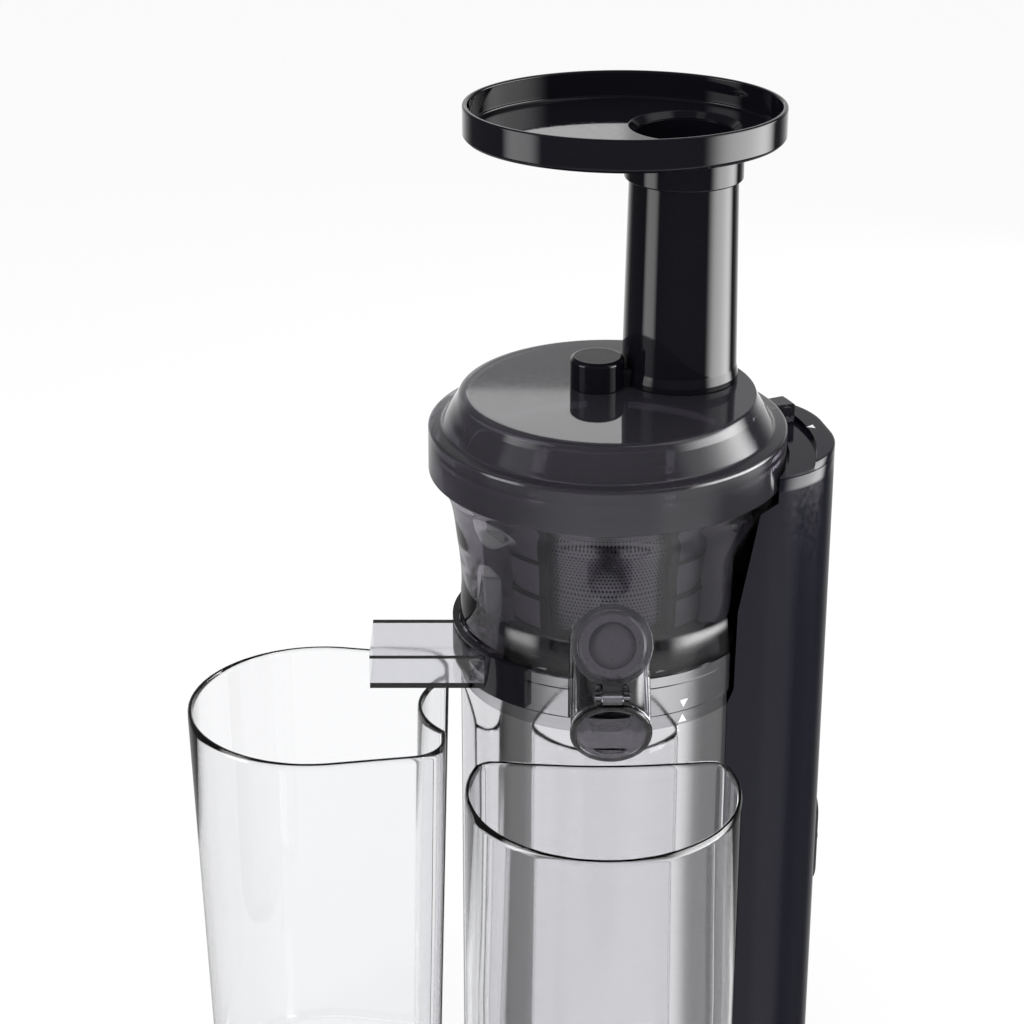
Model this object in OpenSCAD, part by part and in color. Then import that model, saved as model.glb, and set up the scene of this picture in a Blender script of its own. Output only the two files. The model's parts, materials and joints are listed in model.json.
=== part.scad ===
// Slow-turning juicer: screw, strainer and brush in a bowl on a geared base.
// Origin: on the bowl's axis at the table. +Z up, spout towards -Y, pulp duct
// towards -X, tower on the +X side.

/* [Base] */
// Outer radius of the round base casing
base_r = 57; // [54:0.5:62]
// Height of the base casing's top edge above the table
base_top = 204; // [200:1:220]
// Wall of the base casing and tower
base_wall = 2.4; // [1.8:0.2:3.4]
// Height of the rubber feet below the casing
foot_h = 2.5; // [2:0.5:4]
// Thickness of the underside plate
plate_t = 3; // [2:0.5:4]
// Height of the dark ring on top of the casing
ring_h = 6; // [4:0.5:9]
// Width of the rubber foot ring
foot_ring_w = 9; // [6:1:14]

/* [Tower] */
// Angle of the tower round the bowl's axis
tower_angle = 12; // [0:1:25]
// Reach of the tower's outer face beyond the base
tower_out = 31.4; // [30:0.2:39]
// Half the tower's width
tower_half_w = 41.5; // [38:0.5:45]
// Radius of the tower's outer corners
tower_corner = 30; // [20:1:34]
// Height of the tower's flat top above the bowl's rim
tower_rise = 1; // [0:0.5:7]
// Thickness of the tower's top cap
tower_cap_t = 3.2; // [2.4:0.2:4]
// Middle height of the oval switch
switch_z = 118; // [100:1:140]
// Overall height of the oval switch panel
switch_h = 44; // [36:1:54]
// Width of the oval switch panel
switch_w = 20; // [16:1:24]

/* [Motor and gears] */
// Outer radius of the motor
motor_r = 34; // [30:1:38]
// Length of the motor's stator
motor_len = 68; // [50:1:76]
// Height of the stator's lower end
motor_z = 32; // [30:1:40]
// Radius of the motor shaft
motor_shaft_r = 4; // [3:0.25:5]
// Module of the reduction gears
drive_module = 0.75; // [0.7:0.05:0.8]
// Teeth on each pinion
pinion_teeth = 12; // [12:2:14]
// Teeth on each wheel
wheel_teeth = 60; // [56:4:60]
// Face width of a wheel
wheel_w = 10; // [7:0.5:11]
// Radius of the drive shaft
drive_r = 6; // [5:0.25:6.5]
// Width across the flats of the drive shaft's hexagon
hex_flats = 10; // [8:0.5:10.5]
// Height that the hexagon stands above the base ring
hex_rise = 36; // [28:1:38]

/* [Bowl] */
// Step from the base's radius in to the bowl's waist
waist_in = 0.4; // [0:0.1:1]
// Wall of the bowl
bowl_wall = 2.1; // [1.6:0.1:2.6]
// Height of the lower bowl ring
bowl_ring_h = 16; // [13:0.5:18]
// Height of the bowl's waist above the base ring
bowl_waist_z = 33; // [28:1:36]
// Height of the bowl's neck above the base ring
bowl_neck_z = 76; // [74:0.5:80]
// Flare from the bowl's waist out to its neck
neck_flare = 7; // [7:0.1:7.6]
// Thickness of the bowl's floor
floor_t = 3; // [2:0.5:4]

/* [Spout and cap] */
// Outer radius of the spout's mouth
mouth_r = 15; // [13:0.25:16.5]
// Wall of the spout
spout_wall = 2.3; // [1.6:0.1:2.8]
// Reach of the spout's mouth from the axis
mouth_reach = 82; // [79:0.5:88]
// Height of the mouth's centre above the base ring
mouth_z = 7; // [5:0.5:10]
// Downward tilt of the mouth
mouth_tilt = 20; // [10:1:30]
// Radius of the cap's hinge pin
cap_pin_r = 1.25; // [1:0.05:1.5]
// How far the cap is folded open
cap_open = 223; // [180:1:226]

/* [Pulp duct] */
// Reach of the duct's open end from the axis
duct_reach = 91.5; // [84:0.5:100]
// Width of the duct
duct_w = 32; // [26:0.5:34]
// Height of the duct
duct_h = 13.8; // [11:0.2:15]
// Middle of the duct in front of the axis
duct_y = 21; // [18:0.5:23]
// Wall of the duct
duct_wall = 1.7; // [1.2:0.1:2.2]

/* [Strainer, brush and screw] */
// Outer radius of the brush frame at its top
brush_top_r = 43; // [42:0.2:45]
// Outer radius of the brush frame at its foot
brush_foot_r = 40.2; // [40:0.2:42]
// Wall of the brush frame and the strainer
cage_wall = 1.8; // [1.4:0.1:2]
// Gap between the brush frame and the strainer
brush_gap = 1; // [0.6:0.1:1.4]
// Thickness of the strainer's fine mesh
mesh_t = 0.5; // [0.4:0.1:0.8]
// Gap between the screw and the strainer's mesh
screw_gap = 0.4; // [0.3:0.1:0.8]
// Pitch of the screw's flight
screw_pitch = 25; // [20:1:30]
// Thickness of the screw's flight
flight_t = 4.4; // [3:0.2:6]
// Module of the brush gears
brush_module = 1; // [0.98:0.01:1.02]
// Teeth on the screw's gear and the idler
sun_teeth = 24; // [24:1:24]
// Radius of the idler's pin
idler_pin_r = 2; // [1.5:0.1:2.4]
// Number of wiper blades
wiper_count = 3; // [2:1:4]

/* [Lid] */
// Height of the lid's flat top above the bowl's rim
lid_rise = 23; // [21:0.5:27]
// Step from the collar in to the lid's flat top
lid_in = 11.6; // [10.5:0.1:13]
// Thickness of the lid
lid_t = 2.4; // [2:0.1:3]
// Reach of the lid's collar beyond the bowl's neck
collar_out = 5.4; // [5.4:0.1:5.8]
// Number of bayonet lugs
lug_count = 4; // [3:1:5]
// Angle that each lug covers
lug_angle = 22; // [16:1:24]
// Turn that frees the lid
lid_turn = 26; // [26:1:28]

/* [Feed tube and tray] */
// Place of the feed tube's axis, across
tube_x = 28; // [26:0.5:30]
// Place of the feed tube's axis, back
tube_y = 16; // [14:0.5:18]
// Inner radius of the feed tube
tube_bore_r = 18.5; // [17:0.1:18.6]
// Outer radius of the feed tube at its foot
tube_foot_r = 22.8; // [22:0.1:23.4]
// Outer radius of the feed tube at its top
tube_top_r = 20.8; // [20.2:0.1:21]
// Height from the lid to the tube's top, where the tray's collar starts
tube_rise = 80; // [62:1:90]
// Height from the tube's top to the tray's rim
tray_rise = 30; // [24:1:44]
// Half the tray's width
tray_a = 60.3; // [56:0.5:66]
// Half the tray's depth
tray_b = 50; // [47:0.5:56]
// Height of the tray's rim band
tray_h = 12.5; // [9:0.5:15]
// Wall of the tray
tray_wall = 2; // [1.6:0.1:2.8]

/* [Vessels] */
// Height of the pulp container's rim
pot_top = 183; // [170:1:200]
// Radius of the pulp container at its rim
pot_r = 52.2; // [48:0.2:56]
// Place of the pulp container's axis, left of the base
pot_x = 116; // [115:0.5:124]
// Shrink of the pulp container towards its foot
pot_taper = 0.905; // [0.85:0.005:1]
// Radius of the hollow in the pulp container's side
pot_hollow_r = 32; // [26:1:44]
// Height of the juice cup's rim
cup_top = 193; // [180:1:198]
// Radius of the juice cup
cup_r = 52; // [48:0.5:56]
// Place of the juice cup's axis in front of the base
cup_y = 81; // [80:0.5:90]
// Place of the juice cup's axis across
cup_x = -2.5; // [-6:0.5:6]
// Radius of the cup's hollow back
cup_back_r = 196; // [150:1:260]
// Wall of both vessels
vessel_wall = 2; // [1.6:0.1:2.6]

/* [Fits] */
// Clearance between bodies that move past each other
gap = 0.3; // [0.2:0.05:0.4]
// Clearance of a piece that seats in its own body
seat = 0.1; // [0.05:0.05:0.15]
// Radial clearance of a running pin
run = 0.05; // [0.03:0.01:0.08]

/* [Hidden] */
$fn = 96;

// Heights of the base
seat_z = base_top + ring_h;
deck_t = 3;
deck_z = base_top - 1;
plate_z = foot_h;
shell_z = foot_h + 0.5;
motor_top = motor_z + motor_len;
tower_reach = base_r + tower_out;
bracket_t = 8;
gear_z = motor_top + bracket_t;
housing_floor = 4;
wheel1_z = gear_z + housing_floor + 2;
pinion2_z = wheel1_z + wheel_w;
wheel2_z = pinion2_z + 3;
pinion2_h = wheel_w + 4;
cover_top = wheel2_z + wheel_w + 6;
bush_h = 16;
wheel_pitch_r = drive_module * wheel_teeth / 2;
pinion_pitch_r = drive_module * pinion_teeth / 2;
pinion_root_r = pinion_pitch_r - 1.05 * drive_module;
drive_centres = wheel_pitch_r + pinion_pitch_r;
gearbox_r = base_r - base_wall - 2.6;
gearbox_wall = 1.4;
axle_r = 2.5;
backlash = 0.12;

// Heights inside the bowl, up from the base ring
bowl_z = seat_z + gap;
floor_top = seat_z + 6;
rail_top = floor_top + 7.7;
gears_z = rail_top + gap;
gears_h = 7;
cage_z = gears_z + gears_h;
strainer_z = cage_z + 1.6;
waist_z = seat_z + bowl_waist_z;
neck_z = seat_z + bowl_neck_z;
brush_top = neck_z - 1.6;
strainer_top = neck_z + 1.4;
rim_z = neck_z + 13;
bowl_r = base_r - waist_in;
bowl_neck_r = bowl_r + neck_flare;
ring_r = bowl_r + 1;
skirt_r = ring_r - 1.9;
neck_in_r = bowl_neck_r - 2;
sun_pitch_r = brush_module * sun_teeth / 2;
idler_centres = 2 * sun_pitch_r;
idler_angle = 45;
ring_out_r = brush_foot_r + 0.6;
hex_top = seat_z + hex_rise;
duct_z = seat_z + 3;

// Outside of the bowl from its foot to its neck
bowl_outer = [[skirt_r, bowl_z], [skirt_r, bowl_z + bowl_ring_h],
    [ring_r, bowl_z + bowl_ring_h + 0.4], [bowl_r + 0.1, waist_z - 6], [bowl_r, waist_z],
    [bowl_r + 0.5, waist_z + 10], [bowl_r + 1.6, waist_z + 19], [bowl_r + 4.4, neck_z - 7],
    [bowl_neck_r, neck_z]];

// Strainer and screw follow the brush frame
function brush_out(z) = brush_foot_r
    + (brush_top_r - brush_foot_r) * (z - cage_z) / (brush_top - cage_z);
function strainer_out(z) = brush_out(z) - cage_wall - brush_gap;
function strainer_in(z) = strainer_out(z) - cage_wall;
function screw_out(z) = strainer_in(z) - mesh_slack - mesh_t - screw_gap;
screw_z = strainer_z - 0.2;
screw_top = neck_z + 10;
screw_h = neck_z + 3 - screw_z;
mesh_slack = 0.08;
screw_foot_r = screw_out(screw_z + cage_wall + 1.5);
screw_head_r = screw_out(neck_z + 3);
core_r = 17;
socket_r = 9;
pulp_gap_r = 26;
front_window = 68;
// Angle that the flight's thickness takes at its pitch, and where it starts at the foot
flight_a = 360 * flight_t / screw_pitch;
flight_start = 130;

// Lid
lid_top = rim_z + lid_rise;
collar_r = bowl_neck_r + collar_out;
lid_flat_r = collar_r - lid_in;
tube_top = lid_top + tube_rise;
tray_top = tube_top + tray_rise;
collar_h = 18;
collar_top = lid_top - 13;
collar_z = collar_top - collar_h;
collar_in_r = collar_r - 2;
lug_h = 3.2;
bowl_lug_z = collar_z + lug_h + 0.5 + gap;
plug_r = neck_in_r - gap;
plug_z = rim_z - 3;
pin_r = 4;

// Tower
tower_top = rim_z + tower_rise;
tower_z = shell_z;
collar_room_r = collar_r + 1.2;
step_z = collar_z - 4;
tab_r = collar_r + 10.4;
tab_angle = tower_angle + 11;
pin_at_r = collar_r + 7.6;
gland_x = tower_reach - tower_corner - 5.9;
notch_t = 3;
rocker_h = switch_h - 18;
rocker_w = switch_w - 8;
rocker_axis = -1.2;
screw_angles = [10, 100, 190, 280];

// The plunger is pushed down by the lid's tab, and its spring lifts it
pin_high = tower_top - notch_t + 0.8;
pin_low = pin_high - 27;
spring_turns = 5;
spring_r = 3.1;
wire_r = 0.4;

// Mouth and cap hinge, and a turned polygon for the hexagon
mouth_at = [0, -mouth_reach, seat_z + mouth_z];
hinge_at = mouth_at + [0, -6.6, 18.3];
cap_t = 2;
neck_half_w = mouth_r + 0.35;
neck_top = seat_z + 43;

module at_angle(a) { rotate([0, 0, a]) children(); }
module pipe(r, ri, z0, z1) {
    translate([0, 0, z0]) difference() {
        cylinder(r = r, h = z1 - z0);
        translate([0, 0, -1]) cylinder(r = ri, h = z1 - z0 + 2);
    }
}
module disc(r, z0, z1) { translate([0, 0, z0]) cylinder(r = r, h = z1 - z0); }
module turned(points) { rotate_extrude() polygon(points); }
module sector(r, a0, a1, z0, z1, ri = 0) {
    // A wedge of a ring between two angles less than 180 degrees apart
    m = (a0 + a1) / 2;
    translate([0, 0, z0]) linear_extrude(z1 - z0) difference() {
        intersection() {
            circle(r);
            polygon([[0, 0], 2 * r * [cos(a0), sin(a0)], 2.6 * r * [cos(m), sin(m)],
                2 * r * [cos(a1), sin(a1)]]);
        }
        if (ri > 0) circle(ri);
    }
}

// Involute gears: one flank by the involute of the base circle, mirrored for the other
function inv_at(rb, r) = let (t = sqrt(max(0, (r / rb) * (r / rb) - 1)))
    t * 180 / PI - atan(t);
function tooth(m, n, k, slack, add, ded) = let (
    rp = m * n / 2, rb = rp * cos(20), rr = rp - ded * m, rt = rp + add * m,
    half = 90 / n - slack / rp * 90 / PI, a0 = 360 * k / n,
    rs = [for (i = [0:3]) let (r = max(rb, rr) + (rt - max(rb, rr)) * i / 3) r],
    at = function (r) half + inv_at(rb, rp) - inv_at(rb, max(r, rb))
) concat(
    [[rr, a0 - at(rb) - 0.2]],
    [for (r = rs) [r, a0 - at(r)]],
    [for (i = [3:-1:0]) [rs[i], a0 + at(rs[i])]],
    [[rr, a0 + at(rb) + 0.2]]);
module gear_outline(m, n, slack = backlash, add = 0.8, ded = 1.05) {
    polygon([for (k = [0:n - 1]) for (p = tooth(m, n, k, slack, add, ded))
        [p[0] * cos(p[1]), p[0] * sin(p[1])]]);
}
module gear(m, n, z0, h, turn = 0) {
    translate([0, 0, z0]) at_angle(turn) linear_extrude(h) gear_outline(m, n);
}

// Plan of the tower, grown by d; the bowl's side is cut away later
module tower_plan(d = 0) {
    c = tower_corner;
    at_angle(tower_angle) union() {
        translate([24, -tower_half_w - d])
            square([tower_reach - c - 24, 2 * (tower_half_w + d)]);
        translate([24, c - tower_half_w])
            square([tower_reach + d - 24, 2 * (tower_half_w - c)]);
        for (s = [-1, 1])
            translate([tower_reach - c, s * (tower_half_w - c)]) circle(c + d);
    }
}
// Room that the tower leaves for base, bowl and collar, grown by d
module tower_room(d = 0) {
    turned([[0, -1], [base_r + seat + d, -1], [base_r + seat + d, seat_z - ring_h],
        [ring_r + 1.2 + d, seat_z], [bowl_r + 2.6 + d, waist_z],
        [bowl_neck_r + 1.2 + d, step_z - 4], [collar_room_r + d, step_z],
        [collar_room_r + d, tower_top + 9], [0, tower_top + 9]]);
}

module base_shell() color("silver") difference() {
    turned([[base_r - base_wall, shell_z], [base_r - 1, shell_z],
        [base_r, shell_z + 1.5], [base_r, base_top], [base_r - base_wall, base_top]]);
    for (a = [-8:4:8]) at_angle(180 + a * 2.2)
        translate([base_r - 5, -0.9, 14]) cube([8, 1.8, 16]);
}
module bottom_plate() color("dimgray") difference() {
    union() {
        disc(base_r - base_wall - gap, plate_z, plate_z + plate_t);
        for (a = [45:90:315]) at_angle(a)
            translate([motor_r - 4, 0, plate_z]) cylinder(r = 4, h = motor_z - bracket_t - plate_z);
    }
    for (i = [-3:3]) translate([-16, i * 5 - 1.2, 0]) cube([32, 2.4, 12]);
}
module foot_ring() color("black")
    pipe(base_r - 4, base_r - 4 - foot_ring_w, 0, plate_z);
module tower_foot() color("black") at_angle(tower_angle)
    translate([tower_reach - 14, -16, 0]) cube([8, 32, shell_z]);
module base_ring() color("black") difference() {
    union() {
        turned([[drive_r + 6, deck_z - deck_t], [base_r - base_wall - seat, deck_z - deck_t],
            [base_r - base_wall - seat, base_top], [base_r, base_top], [base_r, seat_z - 0.5],
            [base_r - 0.5, seat_z], [base_r - 6, seat_z], [base_r - 6, deck_z],
            [drive_r + 6, deck_z]]);
        pipe(drive_r + 9, drive_r + 5, deck_z - deck_t, deck_z + 1);
    }
    at_angle(-60) translate([base_r - 0.35, 0, base_top + 1]) lock_mark(1);
}
// Small triangle that points up (1) or down (-1), cut into the outer face
module lock_mark(way) {
    s = ring_h - 2.4;
    rotate([90, 0, 90]) linear_extrude(1)
        polygon([[-s * 0.55, way > 0 ? 0 : s], [s * 0.55, way > 0 ? 0 : s], [0, way > 0 ? s : 0]]);
}
module tower_body(d) {
    translate([0, 0, tower_z]) linear_extrude(tower_top - tower_cap_t - tower_z)
        tower_plan(d);
}
module tower_shell() color("midnightblue") difference() {
    tower_body(0);
    tower_room();
    difference() {
        translate([0, 0, base_wall]) tower_body(-base_wall);
        tower_room(base_wall);
    }
    at_angle(tower_angle) {
        translate([tower_reach - 6, 0, switch_z]) rotate([0, 90, 0]) switch_oval(-2, 12);
        translate([gland_x, tower_half_w + 2, 26]) rotate([90, 0, 0]) cylinder(r = 4, h = 8);
    }
}
module tower_cap() color("midnightblue") difference() {
    translate([0, 0, tower_top - tower_cap_t]) union() {
        linear_extrude(tower_cap_t) tower_plan(0);
        difference() {
            translate([0, 0, -2]) linear_extrude(3) tower_plan(-base_wall - seat);
            translate([0, 0, tower_cap_t - tower_top]) tower_room(base_wall + seat);
        }
    }
    tower_room();
    sector(tab_r + 1.2, tab_angle - lid_turn - 30, tab_angle + 7, tower_top - notch_t + 0.8,
        tower_top + 1);
    at_angle(tab_angle) translate([pin_at_r, 0, 0]) disc(2 + run, 280, tower_top + 1);
    at_angle(tower_angle) translate([pin_at_r + 6, -24, tower_top - 0.4])
        linear_extrude(2) polygon([[0, 0], [4, 1.8], [4, -1.8]]);
}
// Upright oval: two round ends and straight sides, along the local x axis
module switch_oval(d, h) {
    r = switch_w / 2;
    linear_extrude(h) union() {
        for (s = [-1, 1]) translate([s * (switch_h / 2 - r), 0]) circle(r + d);
        translate([r - switch_h / 2, -r - d]) square([switch_h - 2 * r, 2 * (r + d)]);
    }
}
module switch_bezel() color("black") at_angle(tower_angle)
    translate([tower_reach, 0, switch_z]) rotate([0, 90, 0]) difference() {
        union() {
            switch_oval(0, 1.6);
            translate([0, 0, -base_wall]) switch_oval(-2 - seat, base_wall + 1);
        }
        translate([0, 0, -8]) linear_extrude(12)
            square([rocker_h + 2 * gap, rocker_w + 2 * gap], center = true);
        for (s = [-1, 1]) rotate([90, 0, 0]) translate([0, rocker_axis, s * 7 - 3])
            cylinder(r = 1 + run, h = 6);
    }
module switch_rocker() color("dimgray") at_angle(tower_angle)
    translate([tower_reach, 0, switch_z]) rotate([0, 90, 0]) rotate([90, 0, 0]) {
        linear_extrude(rocker_w, center = true)
            polygon([[-rocker_h / 2 + 1.4, -4.4], [rocker_h / 2 - 1.4, -4.4],
                [rocker_h / 2 - 0.9, 1.8], [0, 3.2], [-rocker_h / 2 + 0.9, 1.8]]);
        translate([0, rocker_axis, -rocker_w / 2 - 1.4]) cylinder(r = 1, h = rocker_w + 2.8);
    }
module tab_place() { at_angle(tab_angle) translate([pin_at_r, 0, 0]) children(); }
module microswitch() color("firebrick") tab_place() {
    translate([-6, -3, pin_low - 14]) cube([12, 6, 13.7]);
    difference() {
        translate([-6, -5, pin_low + 1]) cube([12, 10, 1.6]);
        disc(2.4, pin_low, pin_low + 4);
    }
    for (s = [-1, 1]) translate([s * 5.2 - 0.8, -3, pin_low - 1]) cube([1.6, 6, 2.5]);
}
module interlock_pin() color("gainsboro") tab_place() {
    disc(2, pin_low, pin_high);
    disc(3.6, pin_low + 13, pin_low + 14.5);
}
// Helical spring: rings of the wire set along the helix and joined by faces
module spring(h, per_turn = 12, sides = 6) {
    n = spring_turns * per_turn;
    points = [for (i = [0:n]) for (k = [0:sides - 1]) let (
        a = 360 * i / per_turn, b = 360 * k / sides, r = spring_r + wire_r * cos(b))
        [r * cos(a), r * sin(a), h * i / n + wire_r * sin(b)]];
    polyhedron(points, concat(
        [[for (k = [sides - 1:-1:0]) k]], [[for (k = [0:sides - 1]) n * sides + k]],
        [for (i = [0:n - 1]) for (k = [0:sides - 1]) let (
            a = i * sides + k, b = i * sides + (k + 1) % sides)
            each [[a, b, b + sides], [a, b + sides, a + sides]]]));
}
module interlock_spring() color("silver") tab_place()
    translate([0, 0, pin_low + 2.6 + wire_r + 0.05]) spring(9.4);
module control_board() color("darkgreen") at_angle(tower_angle) {
    translate([tower_reach - 12, -26, 150]) cube([1.6, 52, 84]);
    translate([tower_reach - 19, -20, 160]) cube([7.1, 14, 18]);
    translate([tower_reach - 17, 2, 168]) cube([5.1, 12, 12]);
    translate([tower_reach - 16, -14, 196]) cube([4.1, 24, 8]);
    for (y = [-8, 8]) for (z = [155, 229]) translate([tower_reach - 10.41, y, z])
        rotate([0, 90, 0]) cylinder(r = 2, h = 10.4 - base_wall);
}
module cord_gland() color("black") at_angle(tower_angle)
    translate([gland_x, tower_half_w, 26]) rotate([90, 0, 0]) difference() {
        union() {
            translate([0, 0, -3 - seat]) cylinder(r = 5.5, h = 3);
            translate([0, 0, -1]) cylinder(r = 4 - seat, h = base_wall + 2);
            translate([0, 0, base_wall + seat]) cylinder(r = 4.9, h = 1.6);
        }
        translate([0, 0, -5]) cylinder(r = 2.6, h = 12);
    }
module screws() color("silver") for (a = screw_angles) at_angle(a)
    translate([base_r - 6 - foot_ring_w - 3, 0, plate_z - 1.2]) cylinder(r = 2.8, h = 1.2);

module motor_stator() color("slategray") difference() {
    disc(motor_r, motor_z, motor_top);
    translate([0, 0, motor_z - 1]) linear_extrude(motor_len + 2)
        for (a = [0:90:270]) rotate(a) {
            circle(motor_r - 13);
            intersection() {
                circle(motor_r - 4);
                translate([motor_r / 2, 0]) square([motor_r, 22], center = true);
            }
        }
}
module motor_brackets() color("lightsteelblue") for (z = [motor_z - bracket_t, motor_top])
    difference() {
        disc(motor_r, z, z + bracket_t);
        disc(9, z - 1, z + bracket_t + 1);
        for (a = [30:60:330]) at_angle(a) translate([21, 0, 0])
            disc(5, z - 1, z + bracket_t + 1);
    }
module motor_bearings() color("silver") for (z = [motor_z - bracket_t, motor_top])
    pipe(9 - seat, motor_shaft_r + run, z + 1, z + bracket_t - 1);
module motor_rotor() color("darkgray") {
    disc(motor_shaft_r, motor_z - bracket_t, wheel1_z - 1);
    disc(pinion_root_r, wheel1_z - 1.1, pinion2_z + 1);
    disc(motor_r - 14, motor_z + 3, motor_top - 3);
    gear(drive_module, pinion_teeth, wheel1_z - 1, wheel_w + 2);
    difference() {
        disc(15, motor_z - bracket_t - 5, motor_z - bracket_t - 1);
        for (a = [0:30:330]) at_angle(a) translate([6, 1, motor_z - bracket_t - 3.5])
            rotate([0, 0, 20]) cube([14, 3.2, 4]);
    }
    disc(5, motor_z - bracket_t - 5, motor_z - bracket_t);
}
module gearbox_cover() color("darkslategray") difference() {
    union() {
        turned([[motor_shaft_r + 5, gear_z], [gearbox_r, gear_z], [gearbox_r, cover_top],
            [gearbox_r - 2.4, cover_top + 2], [16, cover_top + 2], [16, cover_top + bush_h],
            [10, cover_top + bush_h], [10, cover_top - 1.5], [gearbox_r - gearbox_wall, cover_top - 1.5],
            [gearbox_r - gearbox_wall, gear_z + housing_floor],
            [motor_shaft_r + 5, gear_z + housing_floor]]);
        for (a = [0:60:300]) at_angle(a) translate([15, -1.2, cover_top + 1])
            cube([gearbox_r - 20, 2.4, 6]);
    }
    disc(10, cover_top - 5, cover_top + bush_h + 5);
    translate([drive_centres, 0, 0]) disc(axle_r + seat / 2, gear_z - 1, cover_top + 3);
}
module cluster_axle() color("silver") translate([drive_centres, 0, 0])
    disc(axle_r, gear_z + 0.5, cover_top + 2);
module cluster_gear() color("goldenrod") translate([drive_centres, 0, 0]) difference() {
    union() {
        gear(drive_module, wheel_teeth, wheel1_z, wheel_w, 180 / wheel_teeth);
        gear(drive_module, pinion_teeth, pinion2_z - 0.5, pinion2_h + 0.5, 0);
    }
    disc(axle_r + run, wheel1_z - 1, pinion2_z + pinion2_h + 1);
    pipe(wheel_pitch_r - 3, 8, wheel1_z - 1, wheel1_z + 2.5);
}
module hexagon(flats, h) { linear_extrude(h) circle(r = flats / 2 / cos(30), $fn = 6); }
module drive_shaft() color("silver") {
    difference() {
        gear(drive_module, wheel_teeth, wheel2_z, wheel_w, 180 / wheel_teeth);
        pipe(wheel_pitch_r - 3, 10, wheel2_z + wheel_w - 2.5, wheel2_z + wheel_w + 1);
    }
    disc(drive_r, wheel2_z - 0.6, floor_top + 3);
    translate([0, 0, floor_top + 2.9]) hexagon(hex_flats, hex_top - floor_top - 4.4);
    translate([0, 0, hex_top - 1.6]) cylinder(r1 = hex_flats / 2, r2 = hex_flats / 2 - 1.4, h = 1.6);
}
module drive_bush() color("peru") {
    pipe(10 - seat / 2, drive_r + run, cover_top - 1, cover_top + bush_h);
    pipe(12, drive_r + run, cover_top + bush_h, cover_top + bush_h + 2);
}
module shaft_seal() color("black")
    pipe(drive_r + 5 - seat, drive_r + run, deck_z - deck_t, deck_z + 1);

// The spout's hollow: from the mouth back through the bowl's wall
module mouth_frame() { translate(mouth_at) rotate([90 + mouth_tilt, 0, 0]) children(); }
module neck_form(d) {
    hull() {
        mouth_frame() translate([0, 0, -5]) cylinder(r = mouth_r - 1.06 * d, h = 5 + max(0, d), $fn = 48);
        translate([0, -ring_r + 3, 0]) {
            for (x = [-1, 1]) translate([x * (neck_half_w - 4), 0, neck_top - 4])
                rotate([90, 0, 0]) cylinder(r = 4 - d / 2, h = 6, $fn = 24);
            translate([d - neck_half_w, -6, seat_z + 1.5 + 2 * d])
                cube([2 * (neck_half_w - d), 6, 8]);
        }
    }
}
module duct_box(d, x0, x1) {
    translate([x0, -duct_y - duct_w / 2 + d, duct_z + d])
        cube([x1 - x0, duct_w - 2 * d, duct_h - 2 * d]);
}

module bowl_shell() color([0.45, 0.43, 0.47, 0.5]) difference() {
    union() {
        turned(concat([[9, floor_top - floor_t], [ring_r - 8, floor_top - floor_t],
            [skirt_r - 2.4, bowl_z]], bowl_outer,
            [[bowl_neck_r, rim_z], [neck_in_r, rim_z], [neck_in_r, neck_z + 1],
            [neck_in_r - 3.2, neck_z - 1],
            [bowl_r + 4.4 - bowl_wall, neck_z - 7], [bowl_r + 1.6 - bowl_wall, waist_z + 19],
            [bowl_r - bowl_wall, waist_z], [skirt_r - bowl_wall, waist_z - 8],
            [skirt_r - bowl_wall, floor_top], [9, floor_top]]));
        for (k = [0:lug_count - 1]) at_angle(k * 360 / lug_count + 45)
            sector(bowl_neck_r + 2.6, -lug_angle / 2, lug_angle / 2, bowl_lug_z,
                bowl_lug_z + lug_h, bowl_neck_r - 1);
        difference() {
            pipe(ring_out_r - 0.6, ring_out_r - 2.6, floor_top - 1, rail_top);
            duct_box(duct_wall, -ring_r - 2, 0);
        }
        at_angle(idler_angle) translate([idler_centres, 0, 0])
            disc(4.4, floor_top - 1, gears_z + 0.2);
        // Walls and roof of the pulp tunnel under the brush
        intersection() {
            difference() {
                duct_box(duct_wall - 1.6, -ring_r, -ring_out_r + 8);
                duct_box(duct_wall, -ring_r - 2, 0);
            }
            pipe(skirt_r - 1, ring_out_r + gap + 0.1, floor_top - 1, duct_z + duct_h);
        }
    }
    at_angle(idler_angle) translate([idler_centres, 0, 0])
        disc(idler_pin_r, floor_top + 0.5, gears_z + 2);
    difference() {
        neck_form(spout_wall);
        disc(skirt_r - bowl_wall - 1.5, bowl_z, neck_top + 5);
    }
    difference() {
        duct_box(-seat, -ring_r - 3, -20);
        disc(skirt_r, bowl_z - 1, duct_z + duct_h + 1);
    }
    duct_box(duct_wall, -ring_r - 3, -ring_out_r + 4);
}
module bowl_lower_ring() color("dimgray") difference() {
    pipe(ring_r, skirt_r + seat, bowl_z, bowl_z + bowl_ring_h);
    pipe(ring_r + 1, ring_r - 0.5, bowl_z + bowl_ring_h - 4.5, bowl_z + bowl_ring_h - 4);
    translate([-neck_half_w - seat, -ring_r - 3, bowl_z - 1])
        cube([2 * (neck_half_w + seat), 22, bowl_ring_h + 2]);
    duct_box(-seat, -ring_r - 3, -20);
    at_angle(-60) translate([ring_r - 0.35, 0, bowl_z + 1.2]) lock_mark(-1);
}
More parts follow.
